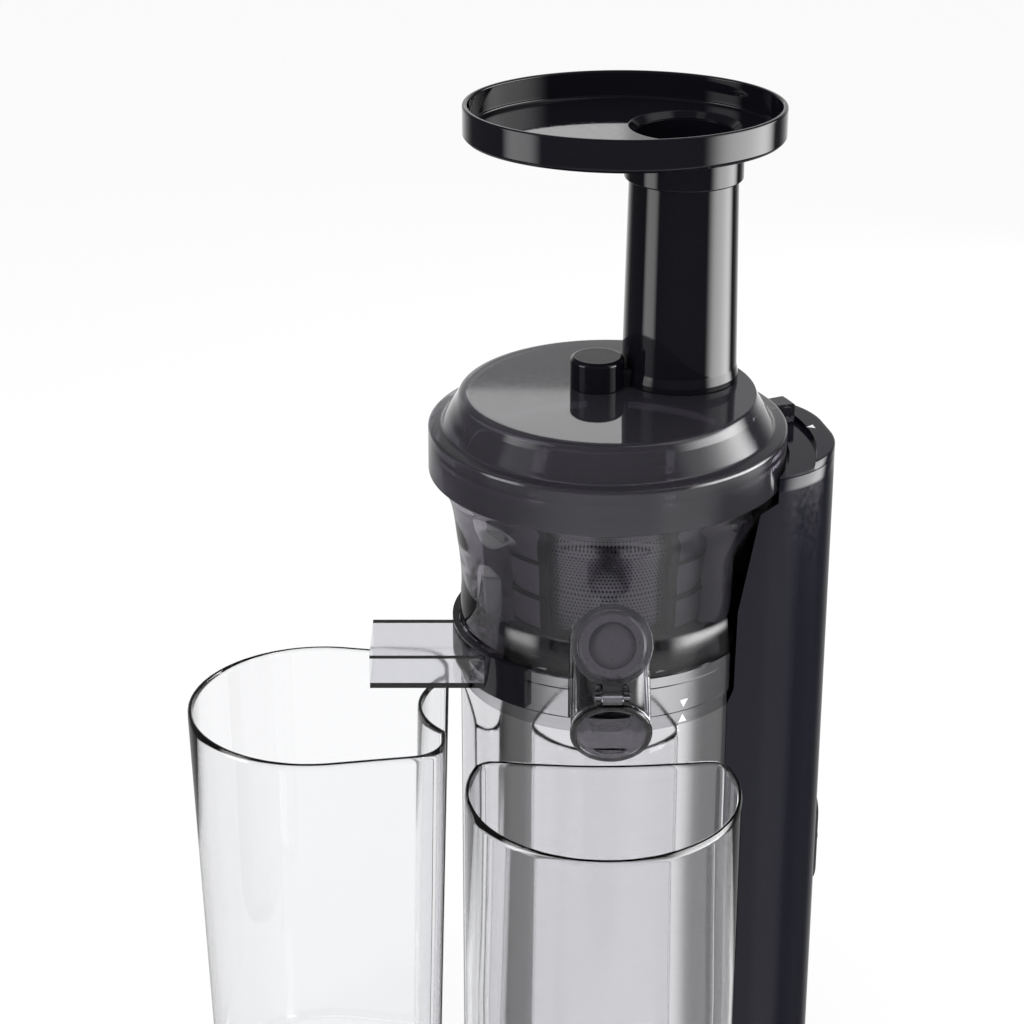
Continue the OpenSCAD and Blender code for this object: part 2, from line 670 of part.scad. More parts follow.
module spout() color([0.3, 0.3, 0.32, 0.6]) difference() {
    union() {
        difference() {
            neck_form(0);
            neck_form(spout_wall);
            turned(concat([[0, 0], [skirt_r + seat, 0]], [for (p = bowl_outer) p + [seat, 0]],
                [[0, neck_z]]));
        }
        mouth_frame() pipe(mouth_r + 0.2, mouth_r - spout_wall, -6, 0.6);
        for (x = [-1, 1]) hull() {
            translate(hinge_at) rotate([0, 90, 0]) translate([0, 0, x * 5.2 - 1.2])
                cylinder(r = 2.6, h = 2.4, $fn = 32);
            translate([x * 5.2 - 1.2, hinge_at[1] + 2.8, hinge_at[2] - 6]) cube([2.4, 7, 2]);
        }
    }
    mouth_frame() translate([0, 0, -12]) cylinder(r = mouth_r - spout_wall, h = 20);
    translate(hinge_at) rotate([0, 90, 0]) cylinder(r = cap_pin_r + seat / 4, h = 20, center = true);
}
module cap_hinge_pin() color("silver") translate(hinge_at) rotate([0, 90, 0])
    cylinder(r = cap_pin_r, h = 12.8, center = true);

// The cap is drawn shut on the mouth, then folded open about its hinge
module folded() {
    translate(hinge_at) rotate([-cap_open, 0, 0]) translate(-hinge_at) children();
}
module juice_cap() color([0.4, 0.4, 0.42, 0.6]) folded() difference() {
    union() {
        mouth_frame() {
            translate([0, 0, 0.6 + gap]) cylinder(r = mouth_r, h = cap_t);
            translate([0, 0, 0.6 + gap + cap_t]) difference() {
                cylinder(r = mouth_r - 1, h = 0.8);
                translate([0, 0, -1]) cylinder(r = mouth_r - 2.2, h = 3);
            }
        }
        translate(hinge_at) rotate([0, 90, 0]) cylinder(r = 2.4, h = 7.2, center = true, $fn = 48);
        mouth_frame() translate([-3.6, mouth_r - 2.4, 0.6 + gap])
            cube([7.2, 18.3 * cos(mouth_tilt) + 6.6 * sin(mouth_tilt) - mouth_r + 2.4, cap_t - 0.6]);
    }
    translate(hinge_at) rotate([0, 90, 0]) cylinder(r = cap_pin_r + run, h = 20, center = true);
}
module cap_seal() color("whitesmoke") folded() mouth_frame()
    translate([0, 0, -2]) difference() {
        union() {
            cylinder(r1 = mouth_r - spout_wall - 1.2, r2 = mouth_r - spout_wall - gap, h = 1.6);
            translate([0, 0, 1.6]) cylinder(r = mouth_r - spout_wall - gap, h = 1 + gap);
        }
        translate([0, 0, -1]) cylinder(r = mouth_r - spout_wall - 4, h = 3);
    }

module pulp_outlet() color([0.9, 0.9, 0.92, 0.35]) difference() {
    duct_box(0, -duct_reach, -20);
    duct_box(duct_wall, -duct_reach - 1, 0);
    disc(skirt_r + seat, 0, 400);
}
module outlet_housing() color("black") difference() {
    sector(ring_r + 2.6, -213, -122, bowl_z + 1.2, bowl_z + bowl_ring_h + 1.6, ring_r + seat);
    duct_box(-seat, -duct_reach, -20);
}
module floor_seal() color("whitesmoke")
    turned([[drive_r + gap, floor_top - floor_t - 1.2], [10.4, floor_top - floor_t - 1.2],
        [10.4, floor_top - floor_t - 0.05], [9 - seat / 2, floor_top - floor_t - 0.05],
        [9 - seat / 2, floor_top + 0.6], [drive_r + 1.2, floor_top + 2], [drive_r + gap, floor_top + 2]]);

module idler_place() { at_angle(idler_angle) translate([idler_centres, 0, 0]) children(); }
module idler_pin() color("silver") idler_place()
    disc(idler_pin_r - 0.01, floor_top + 0.6, gears_z + gears_h - 0.8);
module idler_gear() color("whitesmoke") idler_place() difference() {
    // A gap of the idler faces the sun's tooth, and another faces the ring's
    gear(brush_module, sun_teeth, gears_z + 0.5, gears_h - 1, 180 / sun_teeth);
    disc(idler_pin_r + run, gears_z - 1, gears_z + gears_h + 1);
    pipe(sun_pitch_r - 3, idler_pin_r + 2.6, gears_z + gears_h - 2, gears_z + gears_h + 1);
}

module strainer_frame() color("black") difference() {
    union() {
        turned([[pulp_gap_r, strainer_z], [strainer_out(strainer_z), strainer_z],
            [strainer_out(strainer_top), strainer_top], [plug_r - 1.6, strainer_top],
            [plug_r - 1.6, strainer_top + 2.4],
            [strainer_in(strainer_top + 2.4), strainer_top + 2.4],
            [strainer_in(strainer_z + cage_wall), strainer_z + cage_wall],
            [pulp_gap_r, strainer_z + cage_wall]]);
        at_angle(90) sector(plug_r - 1.6, -5, 5, strainer_top + 2, strainer_top + 5, plug_r - 6);
    }
    for (k = [0:4]) at_angle(-90 + (k == 0 ? 0 : 34 + 36.5 + (k - 1) * 49.7))
        sector(60, k == 0 ? -front_window / 2 : -20, k == 0 ? front_window / 2 : 20,
            strainer_z + 4.5, strainer_top - 4, 20);
}
module strainer_mesh() color("silver")
    turned([for (p = [[0, 3], [1, 3], [1, -2], [0, -2]]) let (
        z = p[1] > 0 ? strainer_z + p[1] : strainer_top + p[1])
        [strainer_in(z) - mesh_slack - (1 - p[0]) * mesh_t, z]]);
module brush_frame() color("black") difference() {
    union() {
        difference() {
            disc(ring_out_r, gears_z, cage_z);
            translate([0, 0, gears_z - 1]) linear_extrude(gears_h + 2)
                rotate(60 / sun_teeth)
                    gear_outline(brush_module, 3 * sun_teeth, -2 * backlash, 1, 0.9);
        }
        turned([[brush_out(cage_z) - cage_wall, cage_z - 0.01], [ring_out_r, cage_z - 0.01],
            [brush_out(cage_z + 1.2), cage_z + 1.2], [brush_out(brush_top), brush_top],
            [brush_out(brush_top) - cage_wall, brush_top]]);
        for (k = [0:wiper_count - 1]) for (s = [0:3]) at_angle(-90 + k * 360 / wiper_count)
            sector(brush_out(row_z(s)) + 0.9, front_window / 2, 360 / wiper_count
                - front_window / 2, row_z(s), row_z(s) + 1.6, brush_out(row_z(s)) - 1.2);
    }
    for (k = [0:wiper_count - 1]) at_angle(-90 + k * 360 / wiper_count) {
        sector(60, -front_window / 2, front_window / 2, cage_z + 2, brush_top - 4, 20);
        for (s = [0:2]) sector(60, front_window / 2 + 5, 360 / wiper_count - front_window / 2 - 5,
            row_z(s) + 1.6, row_z(s + 1), 20);
    }
}
function row_z(s) = cage_z + 3 + s * (brush_top - cage_z - 9) / 3;
module brush_wipers() color([0.4, 0.4, 0.44, 0.7]) for (k = [0:wiper_count - 1]) {
    first = front_window / 2 + 5;
    last = 360 / wiper_count - first;
    at_angle(-90 + k * 360 / wiper_count) {
        for (s = [0:2]) intersection() {
            turned([[brush_out(row_z(s)) - 1.4, row_z(s) + 1.65],
                [brush_out(row_z(s)) - 0.5, row_z(s) + 1.65],
                [brush_out(row_z(s + 1)) - 0.5, row_z(s + 1) - 0.05],
                [brush_out(row_z(s + 1)) - 1.4, row_z(s + 1) - 0.05]]);
            sector(60, first + 0.1, last - 0.1, cage_z, brush_top, 20);
        }
        at_angle((first + last) / 2) rotate([90, 0, 0]) linear_extrude(1.6, center = true)
            polygon([[brush_out(row_z(0)) + 0.95, row_z(0)], [bowl_r - bowl_wall - 1.4, row_z(0)],
                [bowl_r - bowl_wall - 1.4, waist_z], [bowl_r - bowl_wall - 1, waist_z + 12],
                [bowl_r - bowl_wall + 0.4, row_z(3) - 2], [brush_out(row_z(3)) + 0.95, row_z(3)]]);
    }
}

// The screw's section: a round core with one wide flight, turned as it rises
module screw_section() polygon(concat(
    [for (a = [-flight_a / 2:flight_a / 6:flight_a / 2])
        screw_foot_r * [cos(a), sin(a)]],
    [(core_r + 2) * [cos(flight_a / 2 + 9), sin(flight_a / 2 + 9)]],
    [for (i = [0:12]) let (a = flight_a / 2 + 22 + i * (316 - flight_a) / 12)
        core_r * [cos(a), sin(a)]],
    [(core_r + 2) * [cos(-flight_a / 2 - 9), sin(-flight_a / 2 - 9)]]));
module juicing_screw() color("dimgray") difference() {
    union() {
        translate([0, 0, strainer_z + cage_wall + 0.6]) linear_extrude(
            screw_h - cage_wall - 0.8, twist = 360 * (screw_h - cage_wall - 0.8) / screw_pitch,
            scale = screw_head_r / screw_foot_r, slices = 78, $fn = 13)
            rotate(flight_start) screw_section();
        turned([[0, screw_z], [pulp_gap_r - 3, screw_z], [pulp_gap_r - 3, screw_z + 2],
            [core_r - 1, screw_z + 5], [core_r - 2, neck_z + 2], [core_r - 1, neck_z + 4],
            [core_r - 5, screw_top - 1], [pin_r + 3, screw_top + 1], [0, screw_top + 1]]);
    }
    disc(socket_r + seat / 2, screw_z - 1, hex_top + 3.5);
    disc(pin_r + seat / 4, hex_top + 6, screw_top + 2);
}
module screw_socket() color("silver") difference() {
    union() {
        disc(socket_r, gears_z - 4, hex_top + 3);
        gear(brush_module, sun_teeth, gears_z, gears_h);
    }
    translate([0, 0, gears_z - 5]) hexagon(hex_flats + 0.5, hex_top + 1 - gears_z + 5);
}
module screw_pin() color("silver") disc(pin_r, hex_top + 7, lid_top - lid_t - 4);

module bowl_lid() color([0.35, 0.33, 0.37, 0.7]) difference() {
    union() {
        turned([[0, lid_top], [lid_flat_r - 1, lid_top], [lid_flat_r, lid_top - 1],
            [lid_flat_r + 1.2, lid_top - 4], [lid_flat_r + 6.4, collar_top + 0.6],
            [collar_r - 1, collar_top], [collar_r, collar_top - 1], [collar_r, collar_z + 1],
            [collar_r - 0.6, collar_z], [collar_in_r, collar_z], [collar_in_r, rim_z + 2],
            [plug_r, rim_z + 2], [plug_r, plug_z], [plug_r - lid_t, plug_z],
            [plug_r - lid_t, collar_top - 3], [lid_flat_r - 1.8, lid_top - lid_t - 1.6],
            [lid_flat_r - 4, lid_top - lid_t], [0, lid_top - lid_t]]);
        disc(pin_r + 4, screw_top + 2.5, lid_top - 1);
        translate([-4, 5, 0]) {
            disc(10.4, lid_top - 1, lid_top + 11);
            translate([0, 0, lid_top + 11]) cylinder(r1 = 10.4, r2 = 9.2, h = 1);
        }
        translate([-4, 5, lid_top - 1]) rotate([0, 0, 18]) translate([0, -5, 0]) cube([13.5, 10, 8]);
        for (k = [0:lug_count - 1]) at_angle(k * 360 / lug_count + 45)
            sector(collar_in_r + 0.5, -lug_angle / 2, lug_angle / 2, collar_z,
                collar_z + lug_h, bowl_neck_r + gap);
        sector(tab_r, tab_angle - 3.3, tab_angle + 3.3, pin_high + 0.5, collar_top - 3,
            collar_r - 1);
    }
    disc(pin_r + run, screw_top + 1, lid_top - 3);
    translate([tube_x, tube_y, 0]) {
        disc(tube_bore_r + 1.3, lid_top - 20, lid_top + 20);
        disc(tube_foot_r + seat, lid_top + 0.02, lid_top + 20);
    }
    at_angle(tower_angle) translate([collar_r - 4.5, -5, collar_top - 0.4])
        linear_extrude(2) polygon([[0, -1.8], [0, 1.8], [3, 0]]);
}
module lid_seal() color("whitesmoke")
    pipe(plug_r - 0.1, plug_r - lid_t - 1, plug_z - 2.6, plug_z);

module feed_tube() color("black") translate([tube_x, tube_y, 0]) difference() {
    union() {
        disc(tube_bore_r + 1.25, lid_top - lid_t, lid_top + 1);
        turned([[0, lid_top + 0.05], [tube_foot_r, lid_top + 0.05], [tube_foot_r, lid_top + 2],
            [tube_foot_r - 0.4, lid_top + 5], [tube_top_r, tube_top - 0.3], [0, tube_top - 0.3]]);
        disc(tube_bore_r + 1.2, tube_top - 1, tray_top - tray_h - 0.6);
    }
    disc(tube_bore_r, lid_top - 20, tray_top);
}
// Oval of the tray, drawn in by d
module tray_plan(d) polygon([for (t = [0:4:356])
    [5 + (tray_a - d) * cos(t), 8 + (tray_b - d) * sin(t)]]);
module hopper_tray() color("black") {
    floor_z = tray_top - tray_h;
    difference() {
        union() {
            translate([0, 0, floor_z + 1.6]) linear_extrude(tray_h - 1.6) tray_plan(0);
            translate([0, 0, floor_z]) linear_extrude(1.7) tray_plan(1.6);
            translate([tube_x, tube_y, 0]) disc(tube_top_r + 1.8, tube_top, floor_z + 1);
        }
        translate([0, 0, floor_z + tray_wall]) linear_extrude(tray_h) tray_plan(tray_wall);
        translate([tube_x, tube_y, 0]) {
            disc(tube_bore_r + 0.01, tube_top - 1, tray_top + 2);
            disc(tube_bore_r + 1.3, tube_top - 1, floor_z - 0.5);
            translate([0, 0, floor_z - 0.5]) cylinder(r1 = tube_bore_r, r2 = tube_bore_r + 2.6, h = 2.6);
        }
    }
}

// Round pot drawn out into two horns, with a hollow between them that clears the base
module pot_plan(d) difference() {
    hull() {
        circle(pot_r - d);
        for (s = [-1, 1]) translate([pot_x - base_r - 20.3, s * 31.5]) circle(14.5 - d);
    }
    translate([pot_x - base_r - 16 + pot_hollow_r, 0]) circle(pot_hollow_r + d);
}
module pulp_container() color([0.9, 0.92, 0.92, 0.3]) translate([-pot_x, 8, 0]) difference() {
    translate([0, 0, pot_top]) mirror([0, 0, 1])
        linear_extrude(pot_top, scale = pot_taper, slices = 1, $fn = 64) pot_plan(0);
    translate([0, 0, pot_top + 0.01]) mirror([0, 0, 1])
        linear_extrude(pot_top - 3, scale = pot_taper, slices = 1, $fn = 64) pot_plan(vessel_wall);
}
// D-shaped cup with a slightly hollow back
module cup_plan(d) offset(delta = -d) offset(r = 7) offset(delta = -7) difference() {
    circle(cup_r, $fn = 72);
    translate([0, cup_back_r + cup_y - base_r - 4]) circle(cup_back_r, $fn = 180);
}
module juice_cup() color([0.9, 0.92, 0.92, 0.3]) translate([cup_x, -cup_y, 0]) difference() {
    linear_extrude(cup_top) cup_plan(0);
    translate([0, 0, 3.5]) linear_extrude(cup_top) cup_plan(vessel_wall);
}

base_shell();
bottom_plate();
foot_ring();
tower_foot();
base_ring();
tower_shell();
tower_cap();
switch_bezel();
switch_rocker();
microswitch();
interlock_pin();
interlock_spring();
control_board();
cord_gland();
screws();
motor_stator();
motor_brackets();
motor_bearings();
motor_rotor();
gearbox_cover();
cluster_axle();
cluster_gear();
drive_shaft();
drive_bush();
shaft_seal();
bowl_shell();
bowl_lower_ring();
spout();
cap_hinge_pin();
juice_cap();
cap_seal();
pulp_outlet();
outlet_housing();
floor_seal();
idler_pin();
idler_gear();
strainer_frame();
strainer_mesh();
brush_frame();
brush_wipers();
juicing_screw();
screw_socket();
screw_pin();
bowl_lid();
lid_seal();
feed_tube();
hopper_tray();
pulp_container();
juice_cup();
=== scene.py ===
import bpy
import bmesh
import json
import math
import numpy as np
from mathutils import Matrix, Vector


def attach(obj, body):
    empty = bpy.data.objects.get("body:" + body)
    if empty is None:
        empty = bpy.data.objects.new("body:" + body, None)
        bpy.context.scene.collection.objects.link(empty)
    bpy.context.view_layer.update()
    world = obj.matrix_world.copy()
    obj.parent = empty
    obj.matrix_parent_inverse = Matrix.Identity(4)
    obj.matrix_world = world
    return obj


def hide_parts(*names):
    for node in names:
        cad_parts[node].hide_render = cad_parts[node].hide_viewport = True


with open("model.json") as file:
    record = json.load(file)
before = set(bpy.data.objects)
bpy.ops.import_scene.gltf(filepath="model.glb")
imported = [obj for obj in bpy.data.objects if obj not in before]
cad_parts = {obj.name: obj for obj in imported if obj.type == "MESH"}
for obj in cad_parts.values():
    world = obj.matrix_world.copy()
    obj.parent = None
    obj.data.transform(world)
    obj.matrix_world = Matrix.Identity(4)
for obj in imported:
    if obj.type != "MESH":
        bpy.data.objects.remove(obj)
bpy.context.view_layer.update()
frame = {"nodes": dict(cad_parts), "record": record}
print("frame loaded:", len(frame["nodes"]), "nodes")

mm = 0.001  # the sizes below are in millimetres

# The photograph's camera: 23.6 degrees down, no turn, a long lens.
cameraSet = {"place": (-36.7, -965.0, 692.6), "down": 23.6, "focusPixels": 2700.0, "imagePixels": 1024.0}


def makeCamera(s):
    data = bpy.data.cameras.new("camera")
    data.sensor_width = 36.0
    data.lens = s["focusPixels"] * 36.0 / s["imagePixels"]
    data.clip_end = 20.0
    cam = bpy.data.objects.new("camera", data)
    cam.location = [v * mm for v in s["place"]]
    cam.rotation_euler = (math.radians(90.0 - s["down"]), 0.0, 0.0)
    bpy.context.scene.collection.objects.link(cam)
    bpy.context.scene.camera = cam


# Shorthands for the nodes of one tree. Values that are numbers are typed in, and sockets are linked.
def feed(tree, socket, value):
    if isinstance(value, (int, float)):
        socket.default_value = value
    else:
        tree.links.new(value, socket)


def calcIn(tree):
    def calc(operation, *values):
        node = tree.nodes.new("ShaderNodeMath")
        node.operation = operation
        for socket, value in zip(node.inputs, values):
            feed(tree, socket, value)
        return node.outputs[0]

    return calc


def spread(tree, value, low, high, start, end, shape="LINEAR"):
    # start below low, end above high, and between them in step with the value
    node = tree.nodes.new("ShaderNodeMapRange")
    node.interpolation_type = shape
    labels = ("Value", "From Min", "From Max", "To Min", "To Max")
    for label, number in zip(labels, (value, low, high, start, end)):
        feed(tree, node.inputs[label], number)
    return node.outputs["Result"]


def noise(tree, vector, scale, detail=2.0):
    node = tree.nodes.new("ShaderNodeTexNoise")
    node.inputs["Scale"].default_value = scale
    node.inputs["Detail"].default_value = detail
    tree.links.new(vector, node.inputs["Vector"])
    return node.outputs["Fac"]


def tinted(tree, colour, share):
    node = tree.nodes.new("ShaderNodeVectorMath")
    node.operation = "SCALE"
    tree.links.new(colour, node.inputs[0])
    tree.links.new(share, node.inputs["Scale"])
    return node.outputs[0]


def bumped(tree, height, distance, strength=1.0):
    node = tree.nodes.new("ShaderNodeBump")
    node.inputs["Distance"].default_value = distance
    feed(tree, node.inputs["Strength"], strength)
    tree.links.new(height, node.inputs["Height"])
    return node.outputs[0]


def coordinates(tree, kind):
    return tree.nodes.new("ShaderNodeTexCoord").outputs[kind]


def separated(tree, vector):
    node = tree.nodes.new("ShaderNodeSeparateXYZ")
    tree.links.new(vector, node.inputs[0])
    return node.outputs


studioSet = {
    "floorSize": 7.0, "floorColour": (0.93, 0.93, 0.94), "floorGlow": 0.88, "worldStrength": 0.62,
    # what gloss shows round about: a dim room with soft boxes, as middle and half width in degrees round
    # the upright axis, then their strength above and below the horizon band (sines of the height)
    "dimRoom": 0.1, "horizon": (-0.395, -0.35), "overhead": (0.2, 0.5),
    "softBoxes": {
        "left": (-160.0, 18.0, 5.5, 0.05),
        "right": (-5.0, 38.0, 13.0, 0.1),
        "rightLow": (-38.0, 27.0, 0.0, 0.4),
        "tableTop": (-82.0, 80.0, 0.1, 0.8),
        "backdrop": (90.0, 52.0, 1.0, 0.3),
    },
    # cards over the backdrop: middle and half width in degrees, sines of the low and high edge, strength
    "cards": {"low": (91.6, 4.3, 0.2600, 0.293, 0.95), "high": (90.6, 3.7, 0.3572, 0.415, 1.3)},
    # name: place, aimed at, size across, size up, watts
    "lamps": {
        "topSoftbox": ((-0.25, -0.35, 1.45), (0, 0, 0.25), 0.9, 0.9, 9.0),
        "leftStrip": ((-0.95, -0.75, 0.55), (0, 0, 0.22), 0.22, 1.1, 9.0),
        "rightStrip": ((0.85, -0.95, 0.5), (0, 0, 0.25), 0.16, 1.2, 7.0),
        "backStrip": ((0.55, 0.9, 0.6), (0, 0, 0.25), 0.3, 1.1, 7.0),
    },
}


def makeWorld(s):
    world = bpy.data.worlds.new("studioWorld")
    bpy.context.scene.world = world
    world.use_nodes = True
    tree = world.node_tree
    back = tree.nodes["Background"]
    path = tree.nodes.new("ShaderNodeLightPath")
    calc = calcIn(tree)
    x, y, z = separated(tree, coordinates(tree, "Generated"))
    flat = calc("SQRT", calc("ADD", calc("MULTIPLY", x, x), calc("MULTIPLY", y, y)))

    def ease(value, low, high, start, end):
        return spread(tree, value, low, high, start, end, "SMOOTHSTEP")

    def softPatch(middle, half, core):
        # mask from the cosine of the angle to the middle, measured round the upright axis
        a = math.radians(middle)
        across = calc("ADD", calc("MULTIPLY", x, math.cos(a)), calc("MULTIPLY", y, math.sin(a)))
        return ease(calc("DIVIDE", across, flat), math.cos(math.radians(half)),
                    math.cos(math.radians(half * core)), 0.0, 1.0)

    gloss = s["dimRoom"]
    for middle, half, high, low in s["softBoxes"].values():
        tall = calc("MULTIPLY", ease(z, *s["horizon"], low, high), ease(z, *s["overhead"], 1.0, 0.1))
        gloss = calc("ADD", gloss, calc("MULTIPLY", softPatch(middle, half, 0.2), tall))
    for middle, half, low, high, strength in s["cards"].values():
        band = calc("MULTIPLY", ease(z, low, low + 0.002, 0.0, strength),
                    ease(z, high, high + 0.004, 1.0, 0.0))
        gloss = calc("ADD", gloss, calc("MULTIPLY", softPatch(middle, half, 0.9), band))
    # the camera, also through clear walls, sees white; gloss sees the room; the rest gets plain light
    seen = calc("MAXIMUM", path.outputs["Is Camera Ray"], path.outputs["Is Transmission Ray"])
    shiny = calc("MULTIPLY", path.outputs["Is Glossy Ray"], calc("SUBTRACT", gloss, s["worldStrength"]))
    plain = calc("ADD", shiny, s["worldStrength"])
    other = calc("SUBTRACT", 1.0, seen)
    tree.links.new(calc("ADD", seen, calc("MULTIPLY", other, plain)), back.inputs["Strength"])
    back.inputs["Color"].default_value = (1, 1, 1, 1)


def makeFloor(s):
    h = s["floorSize"] / 2
    mesh = bpy.data.meshes.new("floor")
    mesh.from_pydata([(-h, -h, 0), (h, -h, 0), (h, h, 0), (-h, h, 0)], [], [(0, 1, 2, 3)])
    floor = bpy.data.objects.new("floor", mesh)
    bpy.context.scene.collection.objects.link(floor)
    mat = bpy.data.materials.new("paleFloor")
    mat.use_nodes = True
    tree = mat.node_tree
    shader = tree.nodes["Principled BSDF"]
    shader.inputs["Base Color"].default_value = (*s["floorColour"], 1)
    shader.inputs["Roughness"].default_value = 0.7
    # Seen straight on, the far floor fades into the white backdrop.
    glow = tree.nodes.new("ShaderNodeEmission")
    mix = tree.nodes.new("ShaderNodeMixShader")
    rays = tree.nodes.new("ShaderNodeLightPath")
    calc = calcIn(tree)
    seen = calc("MAXIMUM", rays.outputs["Is Camera Ray"], rays.outputs["Is Transmission Ray"])
    tree.links.new(calc("MULTIPLY", seen, s["floorGlow"]), mix.inputs["Fac"])
    tree.links.new(shader.outputs[0], mix.inputs[1])
    tree.links.new(glow.outputs[0], mix.inputs[2])
    tree.links.new(mix.outputs[0], tree.nodes["Material Output"].inputs["Surface"])
    mesh.materials.append(mat)
    floor.visible_glossy = False


def makeLamps(lamps):
    for name, (place, aim, across, up, watts) in lamps.items():
        data = bpy.data.lights.new(name, "AREA")
        data.shape = "RECTANGLE"
        data.size, data.size_y, data.energy = across, up, watts
        lamp = bpy.data.objects.new(name, data)
        lamp.location = place
        lamp.visible_glossy = False
        lamp.rotation_euler = (Vector(aim) - Vector(place)).to_track_quat("-Z", "Y").to_euler()
        bpy.context.scene.collection.objects.link(lamp)


makeCamera(cameraSet)
makeWorld(studioSet)
makeFloor(studioSet)
makeLamps(studioSet["lamps"])
bpy.context.scene.view_settings.view_transform = "Standard"
print("camera and studio ready")

def newGroup(name, ins, outs):
    tree = bpy.data.node_groups.new(name, "ShaderNodeTree")
    for kind, label, value in ins:
        socket = tree.interface.new_socket(name=label, in_out="INPUT", socket_type=kind)
        if value is not None:
            socket.default_value = value
    for kind, label in outs:
        tree.interface.new_socket(name=label, in_out="OUTPUT", socket_type=kind)
    return tree, tree.nodes.new("NodeGroupInput"), tree.nodes.new("NodeGroupOutput")


def mouldedSkinGroup():
    # Moulded plastic: slow colour drift, fine handling marks in the roughness, and a shallow ripple
    tree, gin, gout = newGroup("mouldedSkin", [
        ("NodeSocketColor", "Colour", (0.5, 0.5, 0.5, 1)), ("NodeSocketFloat", "Drift", 0.1),
        ("NodeSocketFloat", "Smooth", 0.1), ("NodeSocketFloat", "Worn", 0.2),
        ("NodeSocketFloat", "Ripple", 0.02)],
        [("NodeSocketColor", "Colour"), ("NodeSocketFloat", "Roughness"), ("NodeSocketVector", "Normal")])
    where = coordinates(tree, "Object")
    slow = noise(tree, where, 14.0)
    fine = noise(tree, where, 420.0, 3.0)
    calc = calcIn(tree)
    drift = gin.outputs["Drift"]
    bright = spread(tree, slow, 0.0, 1.0, calc("SUBTRACT", 1.0, drift), calc("ADD", 1.0, drift))
    rough = spread(tree, fine, 0.3, 0.75, gin.outputs["Smooth"], gin.outputs["Worn"])
    tree.links.new(tinted(tree, gin.outputs["Colour"], bright), gout.inputs["Colour"])
    tree.links.new(rough, gout.inputs["Roughness"])
    tree.links.new(bumped(tree, slow, 0.0004, gin.outputs["Ripple"]), gout.inputs["Normal"])
    return tree


def brushedGroup():
    # Brushed metal round the upright axis: noise stretched along the turn, squeezed in height
    tree, gin, gout = newGroup("brushedMetal", [
        ("NodeSocketColor", "Colour", (0.7, 0.7, 0.7, 1)), ("NodeSocketFloat", "Smooth", 0.25),
        ("NodeSocketFloat", "Worn", 0.4)],
        [("NodeSocketColor", "Colour"), ("NodeSocketFloat", "Roughness"), ("NodeSocketVector", "Normal")])
    stretch = tree.nodes.new("ShaderNodeMapping")
    stretch.inputs["Scale"].default_value = (9.0, 9.0, 900.0)
    tree.links.new(coordinates(tree, "Object"), stretch.inputs["Vector"])
    lines = noise(tree, stretch.outputs[0], 2.0, 4.0)
    tone = spread(tree, lines, 0.0, 1.0, 0.93, 1.05)
    rough = spread(tree, lines, 0.0, 1.0, gin.outputs["Smooth"], gin.outputs["Worn"])
    tree.links.new(tinted(tree, gin.outputs["Colour"], tone), gout.inputs["Colour"])
    tree.links.new(rough, gout.inputs["Roughness"])
    tree.links.new(bumped(tree, lines, 0.00003, 0.25), gout.inputs["Normal"])
    return tree


def perforatedGroup():
    # Rows of round holes in a sheet turned round the upright axis: distance to the nearest hole's middle
    tree, gin, gout = newGroup("perforatedMetal", [
        ("NodeSocketColor", "Colour", (0.5, 0.5, 0.5, 1)), ("NodeSocketFloat", "Pitch", 1.6),
        ("NodeSocketFloat", "Holes Round", 160.0), ("NodeSocketFloat", "Hole", 0.27)],
        [("NodeSocketColor", "Colour"), ("NodeSocketFloat", "Roughness"), ("NodeSocketVector", "Normal"),
         ("NodeSocketFloat", "Alpha")])
    calc = calcIn(tree)
    x, y, z = separated(tree, coordinates(tree, "Object"))
    up = calc("DIVIDE", calc("MULTIPLY", z, 1000.0), gin.outputs["Pitch"])
    turn = calc("DIVIDE", calc("ARCTAN2", y, x), 2 * math.pi)
    along = calc("MULTIPLY", turn, gin.outputs["Holes Round"])
    # every second row is shifted by half a hole
    shifted = calc("ADD", along, calc("MULTIPLY", calc("MODULO", calc("FLOOR", up), 2.0), 0.5))
    a = calc("SUBTRACT", calc("FRACT", shifted), 0.5)
    b = calc("SUBTRACT", calc("FRACT", up), 0.5)
    far = calc("SQRT", calc("ADD", calc("MULTIPLY", a, a), calc("MULTIPLY", b, b)))
    mask = spread(tree, calc("SUBTRACT", far, gin.outputs["Hole"]), -0.03, 0.05, 0.0, 1.0)
    tone = calc("ADD", calc("MULTIPLY", mask, 0.9), 0.1)
    tree.links.new(tinted(tree, gin.outputs["Colour"], tone), gout.inputs["Colour"])
    tree.links.new(calc("ADD", calc("MULTIPLY", mask, -0.2), 0.5), gout.inputs["Roughness"])
    tree.links.new(calc("ADD", calc("MULTIPLY", mask, 0.8), 0.2), gout.inputs["Alpha"])
    tree.links.new(bumped(tree, mask, 0.0001), gout.inputs["Normal"])
    return tree


mouldedSkin = mouldedSkinGroup()
brushedMetal = brushedGroup()
perforatedMetal = perforatedGroup()


def finish(name, group, values, plain):
    # One material: a shared effect feeds colour, roughness and normal, and plain values sit on the shader
    mat = bpy.data.materials.new(name)
    mat.use_nodes = True
    nodes, links = mat.node_tree.nodes, mat.node_tree.links
    shader = nodes["Principled BSDF"]
    effect = nodes.new("ShaderNodeGroup")
    effect.node_tree = group
    for key, value in values.items():
        effect.inputs[key].default_value = (*value, 1) if key == "Colour" else value
    links.new(effect.outputs["Colour"], shader.inputs["Base Color"])
    links.new(effect.outputs["Roughness"], shader.inputs["Roughness"])
    links.new(effect.outputs["Normal"], shader.inputs["Normal"])
    if "Alpha" in effect.outputs:
        links.new(effect.outputs["Alpha"], shader.inputs["Alpha"])
    for key, value in plain.items():
        shader.inputs[key].default_value = value
    return mat


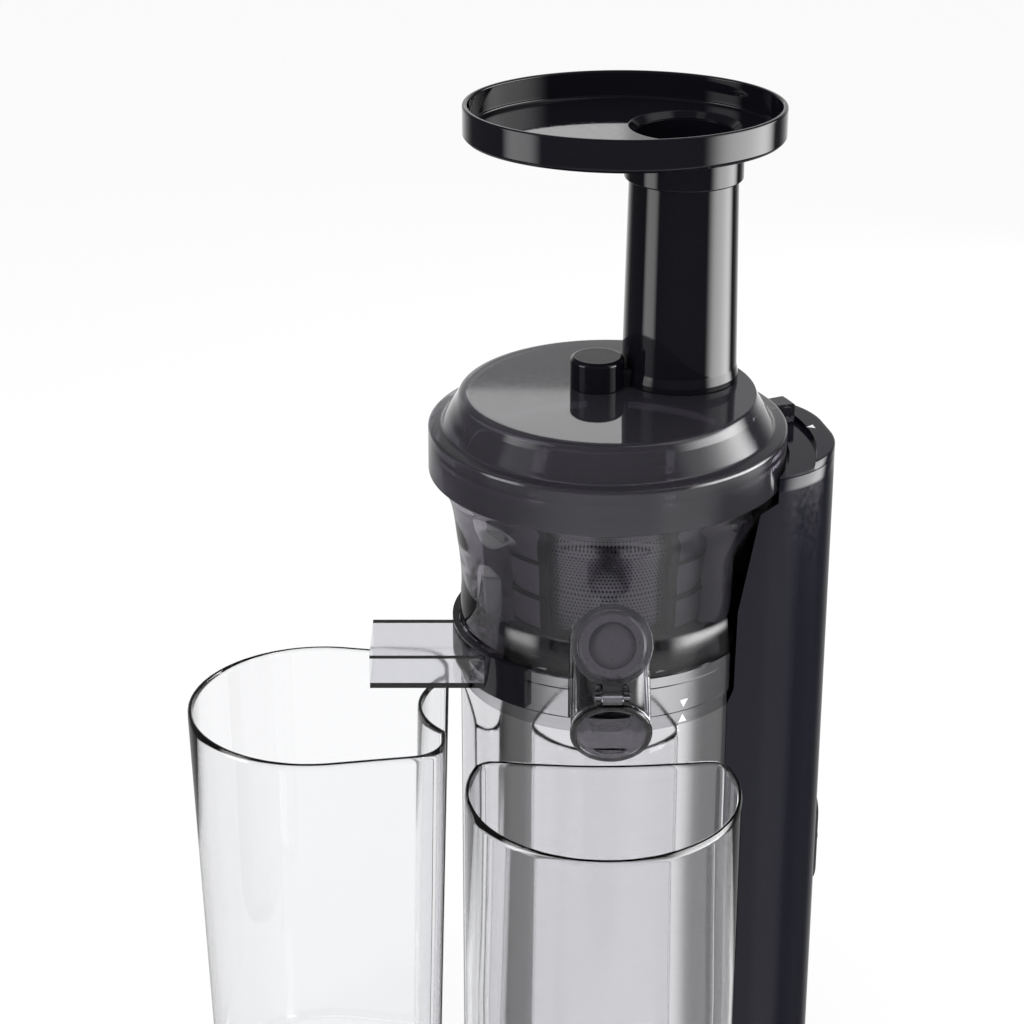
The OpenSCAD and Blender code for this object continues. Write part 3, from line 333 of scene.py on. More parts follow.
def moulded(colour, drift, smooth, worn, ripple, plain):
    values = {"Colour": colour, "Drift": drift, "Smooth": smooth, "Worn": worn, "Ripple": ripple}
    return mouldedSkin, values, plain


def brushed(colour, smooth, worn, plain=None):
    values = {"Colour": colour, "Smooth": smooth, "Worn": worn}
    return brushedMetal, values, {"Metallic": 1.0, **(plain or {})}


def perforated(colour, holesRound, pitch, hole):
    values = {"Colour": colour, "Holes Round": holesRound, "Pitch": pitch, "Hole": hole}
    return perforatedMetal, values, {"Metallic": 1.0}


# moulded: colour, its drift, roughness from and to, ripple, and what sits plainly on the shader
# brushed: colour, roughness from and to; perforated: colour, holes in a row, pitch of the rows, hole size
finishes = {
    "blackGloss": moulded((0.004, 0.004, 0.006), 0.15, 0.03, 0.07, 0.02,
                          {"IOR": 1.5, "Specular IOR Level": 0.26}),
    "towerGloss": moulded((0.007, 0.007, 0.013), 0.12, 0.06, 0.12, 0.02,
                          {"IOR": 1.5, "Specular IOR Level": 0.2}),
    "blackSatin": moulded((0.02, 0.02, 0.023), 0.2, 0.28, 0.45, 0.1, {"IOR": 1.47}),
    "smokeWall": moulded((0.36, 0.345, 0.38), 0.04, 0.02, 0.05, 0.02,
                         {"IOR": 1.47, "Specular IOR Level": 0.25, "Transmission Weight": 1.0}),
    "smokeLid": moulded((0.085, 0.08, 0.098), 0.04, 0.02, 0.045, 0.02,
                        {"IOR": 1.5, "Specular IOR Level": 0.4, "Transmission Weight": 0.8}),
    "smokeSpout": moulded((0.2, 0.195, 0.21), 0.04, 0.02, 0.06, 0.02,
                          {"IOR": 1.47, "Transmission Weight": 1.0}),
    "smokeCap": moulded((0.2, 0.195, 0.215), 0.04, 0.03, 0.07, 0.02,
                        {"IOR": 1.47, "Transmission Weight": 0.9}),
    "clearWall": moulded((0.945, 0.947, 0.955), 0.01, 0.01, 0.03, 0.01,
                         {"IOR": 1.47, "Transmission Weight": 1.0}),
    "hazeWall": moulded((0.82, 0.82, 0.84), 0.02, 0.03, 0.06, 0.02,
                        {"IOR": 1.47, "Transmission Weight": 1.0}),
    "satinSilver": brushed((0.72, 0.71, 0.73), 0.06, 0.1),
    "darkChrome": brushed((0.46, 0.455, 0.47), 0.06, 0.12, {"Specular Tint": (0.35, 0.35, 0.35, 1.0)}),
    "brightSteel": brushed((0.62, 0.62, 0.64), 0.18, 0.3),
    "motorSteel": brushed((0.3, 0.3, 0.32), 0.35, 0.55),
    "castAlloy": moulded((0.5, 0.52, 0.54), 0.1, 0.4, 0.6, 0.4, {"Metallic": 0.9}),
    "bronze": brushed((0.55, 0.36, 0.18), 0.3, 0.45),
    "rubber": moulded((0.02, 0.02, 0.02), 0.2, 0.6, 0.85, 0.3, {"IOR": 1.45}),
    "silicone": moulded((0.3, 0.3, 0.32), 0.1, 0.35, 0.5, 0.1, {"IOR": 1.42}),
    "darkSeal": moulded((0.045, 0.043, 0.05), 0.1, 0.25, 0.4, 0.1, {"IOR": 1.42}),
    "meshSteel": perforated((0.5, 0.5, 0.52), 160.0, 1.6, 0.27),
    "screwResin": moulded((0.028, 0.028, 0.034), 0.2, 0.12, 0.24, 0.08, {"IOR": 1.5}),
    "acetal": moulded((0.75, 0.73, 0.66), 0.05, 0.3, 0.45, 0.1, {"IOR": 1.48}),
    "circuitBoard": moulded((0.02, 0.12, 0.04), 0.2, 0.25, 0.45, 0.1, {}),
    "redPlastic": moulded((0.35, 0.03, 0.025), 0.1, 0.3, 0.45, 0.1, {}),
    "whiteInk": moulded((0.88, 0.88, 0.88), 0.02, 0.4, 0.5, 0.05, {}),
}
materials = {name: finish(name, *values) for name, values in finishes.items()}
print("finishes:", len(materials))

# The record's material slots and the finish that each takes
slotFinish = {
    "silver_casing": "satinSilver", "black_gloss": "blackGloss", "dark_chrome": "darkChrome",
    "black_satin": "blackSatin", "smoke_clear": "smokeWall", "clear_plastic": "clearWall",
    "rubber": "rubber", "silicone": "silicone", "steel": "brightSteel", "motor_steel": "motorSteel",
    "alloy": "castAlloy", "gear_plastic": "acetal", "bronze": "bronze", "screw_plastic": "screwResin",
    "board": "circuitBoard", "switch_plastic": "redPlastic",
}
nodeFinish = {"strainer_mesh": "meshSteel", "pulp_outlet": "hazeWall",
              "cap_seal": "darkSeal", "lid_seal": "darkSeal"}
nodeSlot = {s["node"]: s["material_slot"] for s in frame["record"]["subparts"]}
for nodeName, node in frame["nodes"].items():
    chosen = materials[nodeFinish.get(nodeName, slotFinish[nodeSlot[nodeName]])]
    if not node.material_slots:
        node.data.materials.append(chosen)
    for slot in node.material_slots:
        slot.material = chosen


def place(name, points, quads, look, body, slot, stands=()):
    # One closed mesh at the origin: poles and seams welded, faces turned outwards, smooth up to 38 degrees
    mesh = bpy.data.meshes.new(name)
    mesh.vertices.add(len(points))
    mesh.vertices.foreach_set("co", (np.asarray(points) * mm).astype(np.float32).ravel())
    mesh.loops.add(quads.size)
    mesh.loops.foreach_set("vertex_index", quads.astype(np.int32).ravel())
    mesh.polygons.add(len(quads))
    mesh.polygons.foreach_set("loop_start", np.arange(0, quads.size, 4, dtype=np.int32))
    mesh.update(calc_edges=True)
    work = bmesh.new()
    work.from_mesh(mesh)
    bmesh.ops.remove_doubles(work, verts=work.verts, dist=2e-6)
    bmesh.ops.dissolve_degenerate(work, dist=1e-7, edges=work.edges)
    if work.calc_volume(signed=True) < 0:
        bmesh.ops.reverse_faces(work, faces=work.faces)
    work.to_mesh(mesh)
    work.free()
    mesh.shade_smooth()
    mesh.set_sharp_from_angle(angle=math.radians(38))
    mesh.materials.append(materials[look])
    piece = bpy.data.objects.new(name, mesh)
    bpy.context.scene.collection.objects.link(piece)
    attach(piece, body)
    if stands:
        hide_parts(*stands)
    return piece


def rounded(corners, radius, steps=5, closed=True):
    # Corner c between a and b becomes (1-s)^2 A + 2s(1-s) c + s^2 B, with A and B a tangent length away,
    # and one support point beyond each, so that flat runs stay flat
    c = np.asarray(corners, float)
    radius = np.broadcast_to(np.asarray(radius, float), len(c)).copy()
    before, after = np.roll(c, 1, 0), np.roll(c, -1, 0)
    lenA = np.linalg.norm(before - c, axis=1)
    lenB = np.linalg.norm(after - c, axis=1)
    ua, ub = (before - c) / lenA[:, None], (after - c) / lenB[:, None]
    half = np.arccos(np.clip((ua * ub).sum(1), -0.9999, 0.9999)) / 2
    reach = np.minimum(radius / np.tan(half), 0.42 * np.minimum(lenA, lenB))
    hold = np.minimum(reach * 1.35, 0.47 * np.minimum(lenA, lenB))
    s = np.linspace(0, 1, steps)[None, :, None]
    a, b = (c + ua * reach[:, None])[:, None], (c + ub * reach[:, None])[:, None]
    arc = (1 - s) ** 2 * a + 2 * s * (1 - s) * c[:, None] + s ** 2 * b
    run = np.concatenate([(c + ua * hold[:, None])[:, None], arc, (c + ub * hold[:, None])[:, None]], 1)
    if closed:
        return run.reshape(-1, 2)
    return np.concatenate([c[:1], run[1:-1].reshape(-1, 2), c[-1:]])


def skin(grid, closed):
    # grid[u, v] runs round a form in u, and along its profile in v: a loop, or from pole to pole
    nu, nv = grid.shape[:2]
    index = np.arange(nu * nv).reshape(nu, nv)
    right = np.roll(index, -1, 0)
    if closed:
        upRight, up = np.roll(right, -1, 1), np.roll(index, -1, 1)
    else:
        index, right, upRight, up = index[:, :-1], right[:, :-1], right[:, 1:], index[:, 1:]
    quads = np.stack([index, right, upRight, up], -1).reshape(-1, 4)
    return grid.reshape(-1, 3), quads


def wall(outer, inner, keep, wrap=True):
    # Two facing grids and the rims between them, round every cell that keep leaves out
    nu, nv = outer.shape[:2]
    index = np.arange(nu * nv).reshape(nu, nv)
    last = nu if wrap else nu - 1
    a, d = index[:last, :-1], index[:last, 1:]
    b, c = np.roll(index, -1, 0)[:last, :-1], np.roll(index, -1, 0)[:last, 1:]
    k, n = keep[:last], nu * nv
    below = np.pad(k, ((0, 0), (1, 0)))[:, :-1]
    above = np.pad(k, ((0, 0), (0, 1)))[:, 1:]
    if wrap:
        left, right = np.roll(k, 1, 0), np.roll(k, -1, 0)
    else:
        left, right = np.pad(k, ((1, 0), (0, 0)))[:-1], np.pad(k, ((0, 1), (0, 0)))[1:]
    sets = [np.stack([a, b, c, d], -1)[k], np.stack([a, d, c, b], -1)[k] + n]
    for p, q, edge in ((b, a, k & ~below), (d, c, k & ~above), (c, b, k & ~right), (a, d, k & ~left)):
        sets.append(np.stack([p, q, q + n, p + n], -1)[edge])
    return np.concatenate([outer.reshape(-1, 3), inner.reshape(-1, 3)]), np.concatenate(sets)


def rings(profile, around=224, centre=(0.0, 0.0)):
    # Circle family: point(u, v) = centre(v) + r(v) (cos u, sin u), height z(v); rows are r, z or r, z, x, y
    p = np.asarray(profile, float)
    u = np.linspace(0, 2 * math.pi, around, endpoint=False)[:, None]
    x = p[:, 2] if p.shape[1] > 2 else centre[0]
    y = p[:, 3] if p.shape[1] > 2 else centre[1]
    return np.stack([x + p[:, 0] * np.cos(u), y + p[:, 0] * np.sin(u),
                     np.broadcast_to(p[:, 1], (around, len(p)))], -1)


def turned(section, turn):
    # A section of rows r, z carried round the upright axis: point(u, v) = r(v) (cos u, sin u), z(v)
    r, z = np.asarray(section, float).T
    u = turn[:, None]
    return np.stack([r * np.cos(u), r * np.sin(u), np.broadcast_to(z, (len(u), len(z)))], -1)


def barFrom(grid):
    # grid[u, v] is a bar: closed sections v along u, each end closed by a fan to its middle
    ends = [np.repeat(grid[i].mean(0)[None, None], grid.shape[1], 1) for i in (0, -1)]
    full = np.concatenate([ends[0], grid, ends[1]], 0)
    return skin(full.transpose(1, 0, 2), False)


def makeLugs(name, section, look, body):
    # four bayonet lugs of 22 degrees each
    for k in range(4):
        turn = np.radians(45 + 90 * k + np.linspace(-11, 11, 17))
        place(name % k, *barFrom(turned(section, turn)), look, body, "smoke_clear")


def lathe(name, corners, radius, look, body, slot, stands=(), centre=(0.0, 0.0), closed=True, steps=5,
          around=224):
    return place(name, *skin(rings(rounded(corners, radius, steps, closed), around, centre), closed),
                 look, body, slot, stands)


print("helpers ready")

bowl = {
    # outer and inner wall from foot to rim, as radius and height
    "outer": [(55.7, 210.3), (55.7, 225.6), (57.3, 226.9), (56.9, 237), (56.6, 243), (57.1, 253), (58.2, 262),
              (61.0, 279), (63.0, 284.6), (63.6, 287.5), (63.6, 299)],
    "inner": [(53.6, 216), (53.6, 225.6), (53.6, 226.9), (53.6, 235), (54.5, 243), (55.0, 253), (56.1, 262),
              (58.9, 279), (60.6, 284.6), (61.6, 287.5), (61.6, 299)],
    "spoutHole": (-13.6, 13.6, 216.4, 250.4),   # from and to angle about the front, then heights
    "ductHole": (187.5, 220.0, 214.8, 225.0),   # the same, with angles from +X
    # sections as radius and height
    "floor": [(9, 213.4), (49.6, 213.4), (53.2, 210.6), (53.4, 216), (9, 216)],
    "rail": [(40.2, 215.8), (40.2, 223.0), (39.9, 223.6)],
    "railBack": [(38.2, 215.8), (38.2, 223.0), (38.5, 223.6)],
    "railTurn": (222.0, 546.0),
    "lug": [(63.4, 295.2), (66.0, 295.2), (66.2, 295.5), (66.2, 297.9), (66.0, 298.1), (63.4, 298.1)],
    "idlerReach": 24.0, "idlerTurn": 45.0,
    "idlerSeat": [(2.6, 216.5), (4.4, 216.5), (4.4, 224.1), (2.6, 224.1)],
}


def smoothCurve(points, count):
    # Cubic pieces through the points, with the slope at each taken from its neighbours, by chord length
    p = np.asarray(points, float)
    t = np.concatenate([[0], np.cumsum(np.linalg.norm(np.diff(p, axis=0), axis=1))])
    m = np.gradient(p, t, axis=0)
    s = np.linspace(0, t[-1], count)
    i = np.clip(np.searchsorted(t, s, side="right") - 1, 0, len(t) - 2)
    h = (t[i + 1] - t[i])[:, None]
    q = ((s - t[i]) / h[:, 0])[:, None]
    return ((2 * q ** 3 - 3 * q ** 2 + 1) * p[i] + (q ** 3 - 2 * q ** 2 + q) * h * m[i]
            + (3 * q ** 2 - 2 * q ** 3) * p[i + 1] + (q ** 3 - q ** 2) * h * m[i + 1])


def radiusAt(points, z):
    p = np.asarray(points, float)
    return np.interp(z, p[:, 1], p[:, 0])


def makeBowl(s):
    outer = smoothCurve(s["outer"][2:], 60)
    outer = np.concatenate([[s["outer"][0], (55.7, 218.0), s["outer"][1], (56.5, 226.6)], outer])
    z = outer[:, 1]
    inner = np.stack([radiusAt(s["inner"], z), z], 1)
    # the rim is rounded over its last two rows
    outer = np.concatenate([outer, [(63.4, 299.6), (62.9, 299.9)]])
    inner = np.concatenate([inner, [(61.8, 299.6), (62.3, 299.9)]])
    angle = np.arange(0, 360, 1.25)
    midHeight = (outer[:-1, 1] + outer[1:, 1]) / 2
    midTurn = angle + 0.625
    a0, a1, z0, z1 = s["spoutHole"]
    away = (midTurn + 90 + 180) % 360 - 180
    spoutCell = ((away > a0) & (away < a1))[:, None] & (midHeight > z0) & (midHeight < z1)
    a0, a1, z0, z1 = s["ductHole"]
    ductCell = ((midTurn > a0) & (midTurn < a1))[:, None] & (midHeight > z0) & (midHeight < z1)
    points, quads = wall(rings(outer, len(angle)), rings(inner, len(angle)), ~(spoutCell | ductCell))
    place("bowlWall", points, quads, "smokeWall", "bowl", "smoke_clear", ("bowl_shell",))
    # floor with its shaft hole, the brush ring's rail with a gap at the duct, and the idler's seat
    lathe("bowlFloor", s["floor"], 0.5, "smokeWall", "bowl", "smoke_clear")
    turn = np.radians(np.arange(s["railTurn"][0], s["railTurn"][1] + 0.1, 2.0))
    place("bowlRail", *wall(turned(s["rail"], turn), turned(s["railBack"], turn),
                            np.ones((len(turn), 2), bool), wrap=False), "smokeWall", "bowl", "smoke_clear")
    a = math.radians(s["idlerTurn"])
    seat = (s["idlerReach"] * math.cos(a), s["idlerReach"] * math.sin(a))
    lathe("idlerSeat", s["idlerSeat"], 0.3, "smokeWall", "bowl", "smoke_clear", centre=seat, around=64)
    makeLugs("bowlLug%d", s["lug"], "smokeWall", "bowl")


makeBowl(bowl)
print("bowl made")

tubeAt = (28.0, 16.0)
lid = {
    # closed loop of radius and height: from the tube's hole over the top, down the skirt and collar, and
    # back inside; a ring's centre moves from the tube's axis to the bowl's between the two radii
    "moving": (20.0, 57.0),
    "loop": [(19.8, 322), (56.6, 322), (58.6, 318), (63.8, 309.4), (69, 309), (69, 291), (67, 291), (67, 301),
             (61.3, 301), (61.3, 296), (58.9, 296), (58.9, 306), (55.6, 318.2), (53.4, 319.6), (19.8, 319.6)],
    "radius": [0.3, 2.2, 2.0, 1.6, 1.1, 0.5, 0.4, 0.5, 0.3, 0.4, 0.4, 2, 1.5, 0.8, 0.3],
    "bossAt": (-4, 5),
    "boss": [(0, 322.02), (10.4, 322.02), (10.4, 333), (9.2, 334), (0, 334)],
    "armTurn": 18.0, "armFrom": 4.0, "armLength": 9.4,
    "arm": [(-5, 322.02), (5, 322.02), (5, 329), (-5, 329)],
    "bearing": [(4.15, 299), (8, 299), (8, 319.7), (4.15, 319.7)],
    "lug": [(67.2, 291.2), (67.2, 294.2), (64.2, 294.2), (64.2, 291.2)],
    "tabTurn": (19.7, 26.3),
    "tab": [(68.6, 298.4), (79.4, 298.4), (79.4, 306), (68.6, 306)],
}


def makeLid(s):
    flat = rounded(s["loop"], s["radius"], 6)
    near, far = s["moving"]
    share = np.clip((flat[:, 0] - near) / (far - near), 0, 1)
    rows = np.column_stack([flat, tubeAt[0] * (1 - share), tubeAt[1] * (1 - share)])
    place("lidShell", *skin(rings(rows, 256), True), "smokeLid", "lid", "smoke_clear", ("bowl_lid",))
    lathe("lidBoss", s["boss"], [0, 0.4, 1.2, 1.2, 0], "blackGloss", "lid", "smoke_clear", centre=s["bossAt"],
          closed=False, around=96)
    # the arm runs from the boss to the tube's foot: a rounded section along its own direction
    turn = math.radians(s["armTurn"])
    ahead = np.array([math.cos(turn), math.sin(turn), 0])
    aside = np.array([-math.sin(turn), math.cos(turn), 0])
    section = rounded(s["arm"], [0.2, 0.2, 1.6, 1.6], 7)
    start = np.array([*s["bossAt"], 0]) + ahead * s["armFrom"]
    bar = np.stack([start + ahead * d + aside * section[:, :1] + np.array([0, 0, 1.0]) * section[:, 1:]
                    for d in np.linspace(0, s["armLength"], 3)])
    place("lidArm", *barFrom(bar), "blackGloss", "lid", "smoke_clear")
    lathe("lidBearing", s["bearing"], 0.4, "smokeLid", "lid", "smoke_clear", around=64)
    makeLugs("lidLug%d", s["lug"], "smokeLid", "lid")
    turn = np.radians(np.linspace(*s["tabTurn"], 9))
    place("lidTab", *barFrom(turned(rounded(s["tab"], 0.8), turn)), "smokeLid", "lid", "smoke_clear")


makeLid(lid)

feedTube = {
    "loop": [(18.5, 319.6), (19.72, 319.6), (19.72, 322.06), (22.8, 322.06), (22.8, 324.4), (22.2, 328),
             (20.8, 401.7), (19.7, 401.7), (19.7, 418.9), (18.5, 418.9)],
    "radius": [0.3, 0.2, 0.2, 0.4, 1.0, 4.0, 0.3, 0.2, 0.3, 0.3],
}
lathe("feedTube", feedTube["loop"], feedTube["radius"], "blackGloss", "lid", "black_gloss", ("feed_tube",),
      centre=tubeAt, steps=6)

tray = {
    "oval": (5.0, 8.0, 60.3, 50.0),
    "moving": (22.5, 58.3),   # rings pass from the chute's circle to the rim's oval between these reaches
    # closed loop: on the chute a radius and height, on the rim an inset from the oval's edge and height
    "loop": [("tube", 19.8, 402), ("tube", 22.6, 402), ("tube", 22.6, 419.5), ("rim", 1.2, 419.5),
             ("rim", 0, 420.8), ("rim", 0, 432), ("rim", 2, 432), ("rim", 2, 421.5), ("tube", 21.1, 421.5),
             ("tube", 18.6, 419.1), ("tube", 19.8, 419.0)],
    "radius": [0.3, 0.6, 1.5, 1.0, 1.2, 0.85, 0.85, 1.6, 0.8, 0.1, 0.1],
}


def makeTray(s):
    # Every ring is an ellipse between the chute's circle and the rim's oval, in step with the reach
    cx, cy, a, b = s["oval"]
    reach = [(a - v[1]) if v[0] == "rim" else v[1] for v in s["loop"]]
    flat = rounded(list(zip(reach, [v[2] for v in s["loop"]])), s["radius"], 7)
    near, far = s["moving"]
    share = np.clip((flat[:, 0] - near) / (far - near), 0, 1)
    semi = flat[:, 0] - share * (a - b)
    u = np.linspace(0, 2 * math.pi, 256, endpoint=False)[:, None]
    x = tubeAt[0] + (cx - tubeAt[0]) * share + flat[:, 0] * np.cos(u)
    y = tubeAt[1] + (cy - tubeAt[1]) * share + semi * np.sin(u)
    grid = np.stack([x, y, np.broadcast_to(flat[:, 1], x.shape)], -1)
    place("trayShell", *skin(grid, True), "blackGloss", "lid", "black_gloss", ("hopper_tray",))


makeTray(tray)
print("lid, tube and tray made")


def insetPlan(plan, d):
    # Closed plan outline moved inwards by d along its own normals
    step = np.roll(plan, -1, 0) - np.roll(plan, 1, 0)
    out = np.stack([step[:, 1], -step[:, 0]], 1)
    out /= np.linalg.norm(out, axis=1)[:, None]
    return plan - out * d


def evenly(plan, count):
    # The closed outline again, with its points an equal length apart
    ring = np.concatenate([plan, plan[:1]])
    run = np.concatenate([[0], np.cumsum(np.linalg.norm(np.diff(ring, axis=0), axis=1))])
    s = np.linspace(0, run[-1], count, endpoint=False)
    return np.stack([np.interp(s, run, ring[:, 0]), np.interp(s, run, ring[:, 1])], 1)


def shellRows(s):
    # Inset and height: up the inside from its rounded foot, over the rim, down outside to the outer foot
    w, top = s["wall"], s["top"]
    inside = footRound(w, s["floor"], s["innerFoot"], True)
    inside += [(w, 12.0), (w, 60.0), (w, 120.0), (w, top - 3.0)]
    lip = [(w - 0.1, top - 0.7), (w - 0.45, top - 0.15), (1.0, top), (0.45, top - 0.15), (0.1, top - 0.7)]
    outside = [(0, top - 3.0), (0, 120.0), (0, 60.0), (0, 10.0)]
    return inside + lip + outside + footRound(0.0, 0.0, s["outerFoot"], False)


def makeVessel(name, plan, s, body, stands):
    # From the middle of the inner floor along the wall's rows to the middle below; plans shrink downwards
    middle = np.array(s["middle"])
    rows = []
    for d, z in shellRows(s):
        size = s["taper"] + (1 - s["taper"]) * z / s["top"]
        rows.append(np.column_stack([middle + (insetPlan(plan, d) - middle) * size,
                                     np.full(len(plan), float(z))]))
    first, last = rows[0], rows[-1]
    inPole = np.broadcast_to([middle[0], middle[1], first[0, 2]], first.shape)
    outPole = np.broadcast_to([middle[0], middle[1], last[0, 2]], last.shape)
    inMid, outMid = (first + inPole) / 2, (last + outPole) / 2
    grid = np.stack([inPole, inMid] + rows + [outMid, outPole], 1)
    place(name, *skin(grid, False), "clearWall", body, "clear_plastic", stands)


def softMin(a, b, k):
    # The lesser of two reaches, with the change between them rounded over about k
    return (a + b - np.sqrt((a - b) ** 2 + k * k)) / 2


def footRound(inset, z0, radius, up, count=6):
    # Quarter round of an inside or outside foot, as inset and height
    t = np.linspace(0, math.pi / 2, count)
    return [(inset + radius * (1 - math.sin(q)), z0 + radius * (1 - math.cos(q)))
            for q in (t if up else t[::-1])]


pot = {"middle": (-116.0, 8.0), "radius": 52.2, "horns": (38.7, 31.5, 14.5), "hollow": (75.0, 32.0),
       "wall": 2.0, "taper": 0.905, "top": 183.0, "floor": 3.2, "innerFoot": 3.0, "outerFoot": 3.5}


def hullOf(circles, t):
    # Support function: the farthest reach of any circle in each direction, and the touching point there
    circles = np.array(circles)
    d = np.stack([np.cos(t), np.sin(t)], 1)
    best = circles[(d @ circles[:, :2].T + circles[:, 2]).argmax(1)]
    return best[:, :2] + d * best[:, 2:]


def makePot(s):
    # Hull of the round body and two rounded horns, less the hollow that goes round the base
    across, out, hornRadius = s["horns"]
    hull = hullOf([(0, 0, s["radius"]), (across, out, hornRadius), (across, -out, hornRadius)],
                  np.linspace(0, 2 * math.pi, 2880, endpoint=False))
    hull = evenly(hull, 4000)
    t = np.arctan2(hull[:, 1], hull[:, 0])
    order = np.argsort(t)
    turn = np.linspace(-math.pi, math.pi, 1440, endpoint=False)
    far = np.interp(turn, t[order], np.linalg.norm(hull, axis=1)[order], period=2 * math.pi)
    middle, hollow = s["hollow"]
    c = middle * np.cos(turn)
    root = hollow ** 2 - middle ** 2 + c ** 2
    near = np.where((root > 0) & (c > 0), c - np.sqrt(np.maximum(root, 0)), 400.0)
    r = softMin(far, near, 1.4)
    plan = evenly(np.stack([s["middle"][0] + r * np.cos(turn), s["middle"][1] + r * np.sin(turn)], 1), 320)
    makeVessel("pulpVessel", plan, s, "pulp_pot", ("pulp_container",))


cup = {"middle": (-2.5, -86.0), "round": (-2.5, -81.0, 52.0), "back": (-2.5, 135.0, 196.0), "wall": 2.0,
       "taper": 1.0, "top": 193.0, "floor": 3.6, "innerFoot": 2.5, "outerFoot": 3.0}


def makeCup(s):
    # Rays from the middle, each to the front circle or the wide back arc, whichever is nearer
    t = np.linspace(0, 2 * math.pi, 1440, endpoint=False)
    mx, my = s["middle"]
    dx, dy = np.cos(t), np.sin(t)
    fx, fy, fr = mx - s["round"][0], my - s["round"][1], s["round"][2]
    b = fx * dx + fy * dy
    front = -b + np.sqrt(b * b - (fx * fx + fy * fy - fr * fr))
    gx, gy, gr = mx - s["back"][0], my - s["back"][1], s["back"][2]
    b = gx * dx + gy * dy
    root = b * b - (gx * gx + gy * gy - gr * gr)
    back = np.where((root > 0) & (b < 0), -b - np.sqrt(np.maximum(root, 0)), 400.0)
    r = softMin(front, back, 9.0)
    plan = evenly(np.stack([mx + r * dx, my + r * dy], 1), 320)
    makeVessel("cupVessel", plan, s, "cup", ("juice_cup",))


makePot(pot)
makeCup(cup)
print("vessels made")

hingeAt = (-88.6, 235.3)   # y and z of the cap's pin
spoutForm = {
    "mouth": (-82.0, 217.0), "radius": 15.0, "wall": 2.3, "tilt": 110.0,
    # where it meets the bowl: half width, heights, and how square its corners are
    "halfWidth": 15.35, "low": 211.6, "high": 253.0, "square": 4.5,
    # how far the skin runs straight from the mouth and from the bowl before it bends
    "mouthPull": 16.0, "bowlPull": 14.0,
    # the mouth's lip, as change of radius and distance outwards
    "lip": [(0.02, -2.4), (0.25, -2.1), (0.3, -1.6), (0.3, -0.2), (0.1, 0.25), (-0.5, 0.55), (-1.5, 0.6),
            (-2.0, 0.45), (-2.3, 0.0), (-2.3, -2.4)],
    # ears: middle across, half thickness, radius about the pin, and the foot's corners as y and z
    "ears": {"spoutEarLeft": -5.2, "spoutEarRight": 5.2}, "earHalf": 1.2, "earRadius": 2.6,
    "earFoot": [(-85.8, 229.5), (-79.4, 231.2), (-80.6, 236.6)],
}


def mouthPoints(s, radius, along, u):
    # Mouth circle in the turned frame: local x across, local y up the mouth's plane, local z outwards
    t = math.radians(s["tilt"])
    ly = radius * np.sin(u)
    x = radius * np.cos(u)
    y = s["mouth"][0] + ly * math.cos(t) - along * math.sin(t)
    z = s["mouth"][1] + ly * math.sin(t) + along * math.cos(t)
    return np.stack([x, y, z], -1)


def wallPoints(s, inset, u, off):
    # Rounded rectangle on the bowl's own surface, met by a ray at the same angle u
    hw, zl, zh = s["halfWidth"] - inset, s["low"] + inset, s["high"] - inset
    zc = (zl + zh) / 2
    hh = (zh - zl) / 2
    power = s["square"]
    k = (np.abs(np.cos(u) / hw) ** power + np.abs(np.sin(u) / hh) ** power) ** (-1 / power)
    x, z = k * np.cos(u), zc + k * np.sin(u)
    r = radiusAt(bowl["outer"], z) + off
    return np.stack([x, -np.sqrt(r * r - x * x), z], -1)


def makeSpout(s):
    # Strip (2v^3 - 3v^2 + 1) M + (v^3 - 2v^2 + v) A + (3v^2 - 2v^3) W + (v^3 - v^2) B, from the mouth M along
    # its axis A to the bowl W, which it meets square, along B
    u = np.linspace(0, 2 * math.pi, 160, endpoint=False)
    v = np.linspace(0, 1, 22)[None, :, None]
    t = math.radians(s["tilt"])
    axis = np.array([0.0, math.sin(t), -math.cos(t)]) * s["mouthPull"]
    into = np.array([0.0, s["bowlPull"], 0.0])
    grids = []
    for inset in (0.0, s["wall"]):
        m = mouthPoints(s, s["radius"] - inset, -3.0, u)[:, None]
        w = wallPoints(s, inset, u, -0.3)[:, None]
        grids.append((2 * v ** 3 - 3 * v ** 2 + 1) * m + (v ** 3 - 2 * v ** 2 + v) * axis
                     + (3 * v ** 2 - 2 * v ** 3) * w + (v ** 3 - v ** 2) * into)
    lip = [mouthPoints(s, s["radius"] + d, a, u)[:, None] for d, a in s["lip"]]
    grid = np.concatenate([grids[0][:, ::-1]] + lip + [grids[1]], 1)
    place("spoutNeck", *skin(grid, True), "smokeSpout", "bowl", "smoke_clear", ("spout",))


def makeEars(s):
    # Half a circle about the pin, closed by the foot's corners, between two flat sides
    t = np.linspace(0, math.pi, 15) - math.pi / 2
    lobe = np.stack([hingeAt[0] - s["earRadius"] * np.sin(t), hingeAt[1] + s["earRadius"] * np.cos(t)], 1)
    outline = np.concatenate([lobe[::-1], s["earFoot"]])
    for name, x in s["ears"].items():
        sides = [np.column_stack([np.full(len(outline), x + d), outline])
                 for d in (-s["earHalf"], s["earHalf"])]
        place(name, *barFrom(np.stack(sides)), "smokeSpout", "bowl", "smoke_clear")


makeSpout(spoutForm)
makeEars(spoutForm)

capForm = {
    "open": 223.0, "armHalf": 3.6, "knuckle": 2.4,
    # disc and arm as radius from the mouth's middle and distance outwards, in the shut position
    "disc": [(0, 0.9), (15, 0.9), (15, 2.9), (14, 2.9), (14, 3.7), (12.8, 3.7), (12.8, 2.9), (0, 2.9)],
    "discRadius": [0, 0.5, 0.4, 0.2, 0.35, 0.35, 0.2, 0],
    "arm": [(19.4, 2.3), (19.4, 0.9), (12.6, 0.9), (12.6, 2.3)],
}


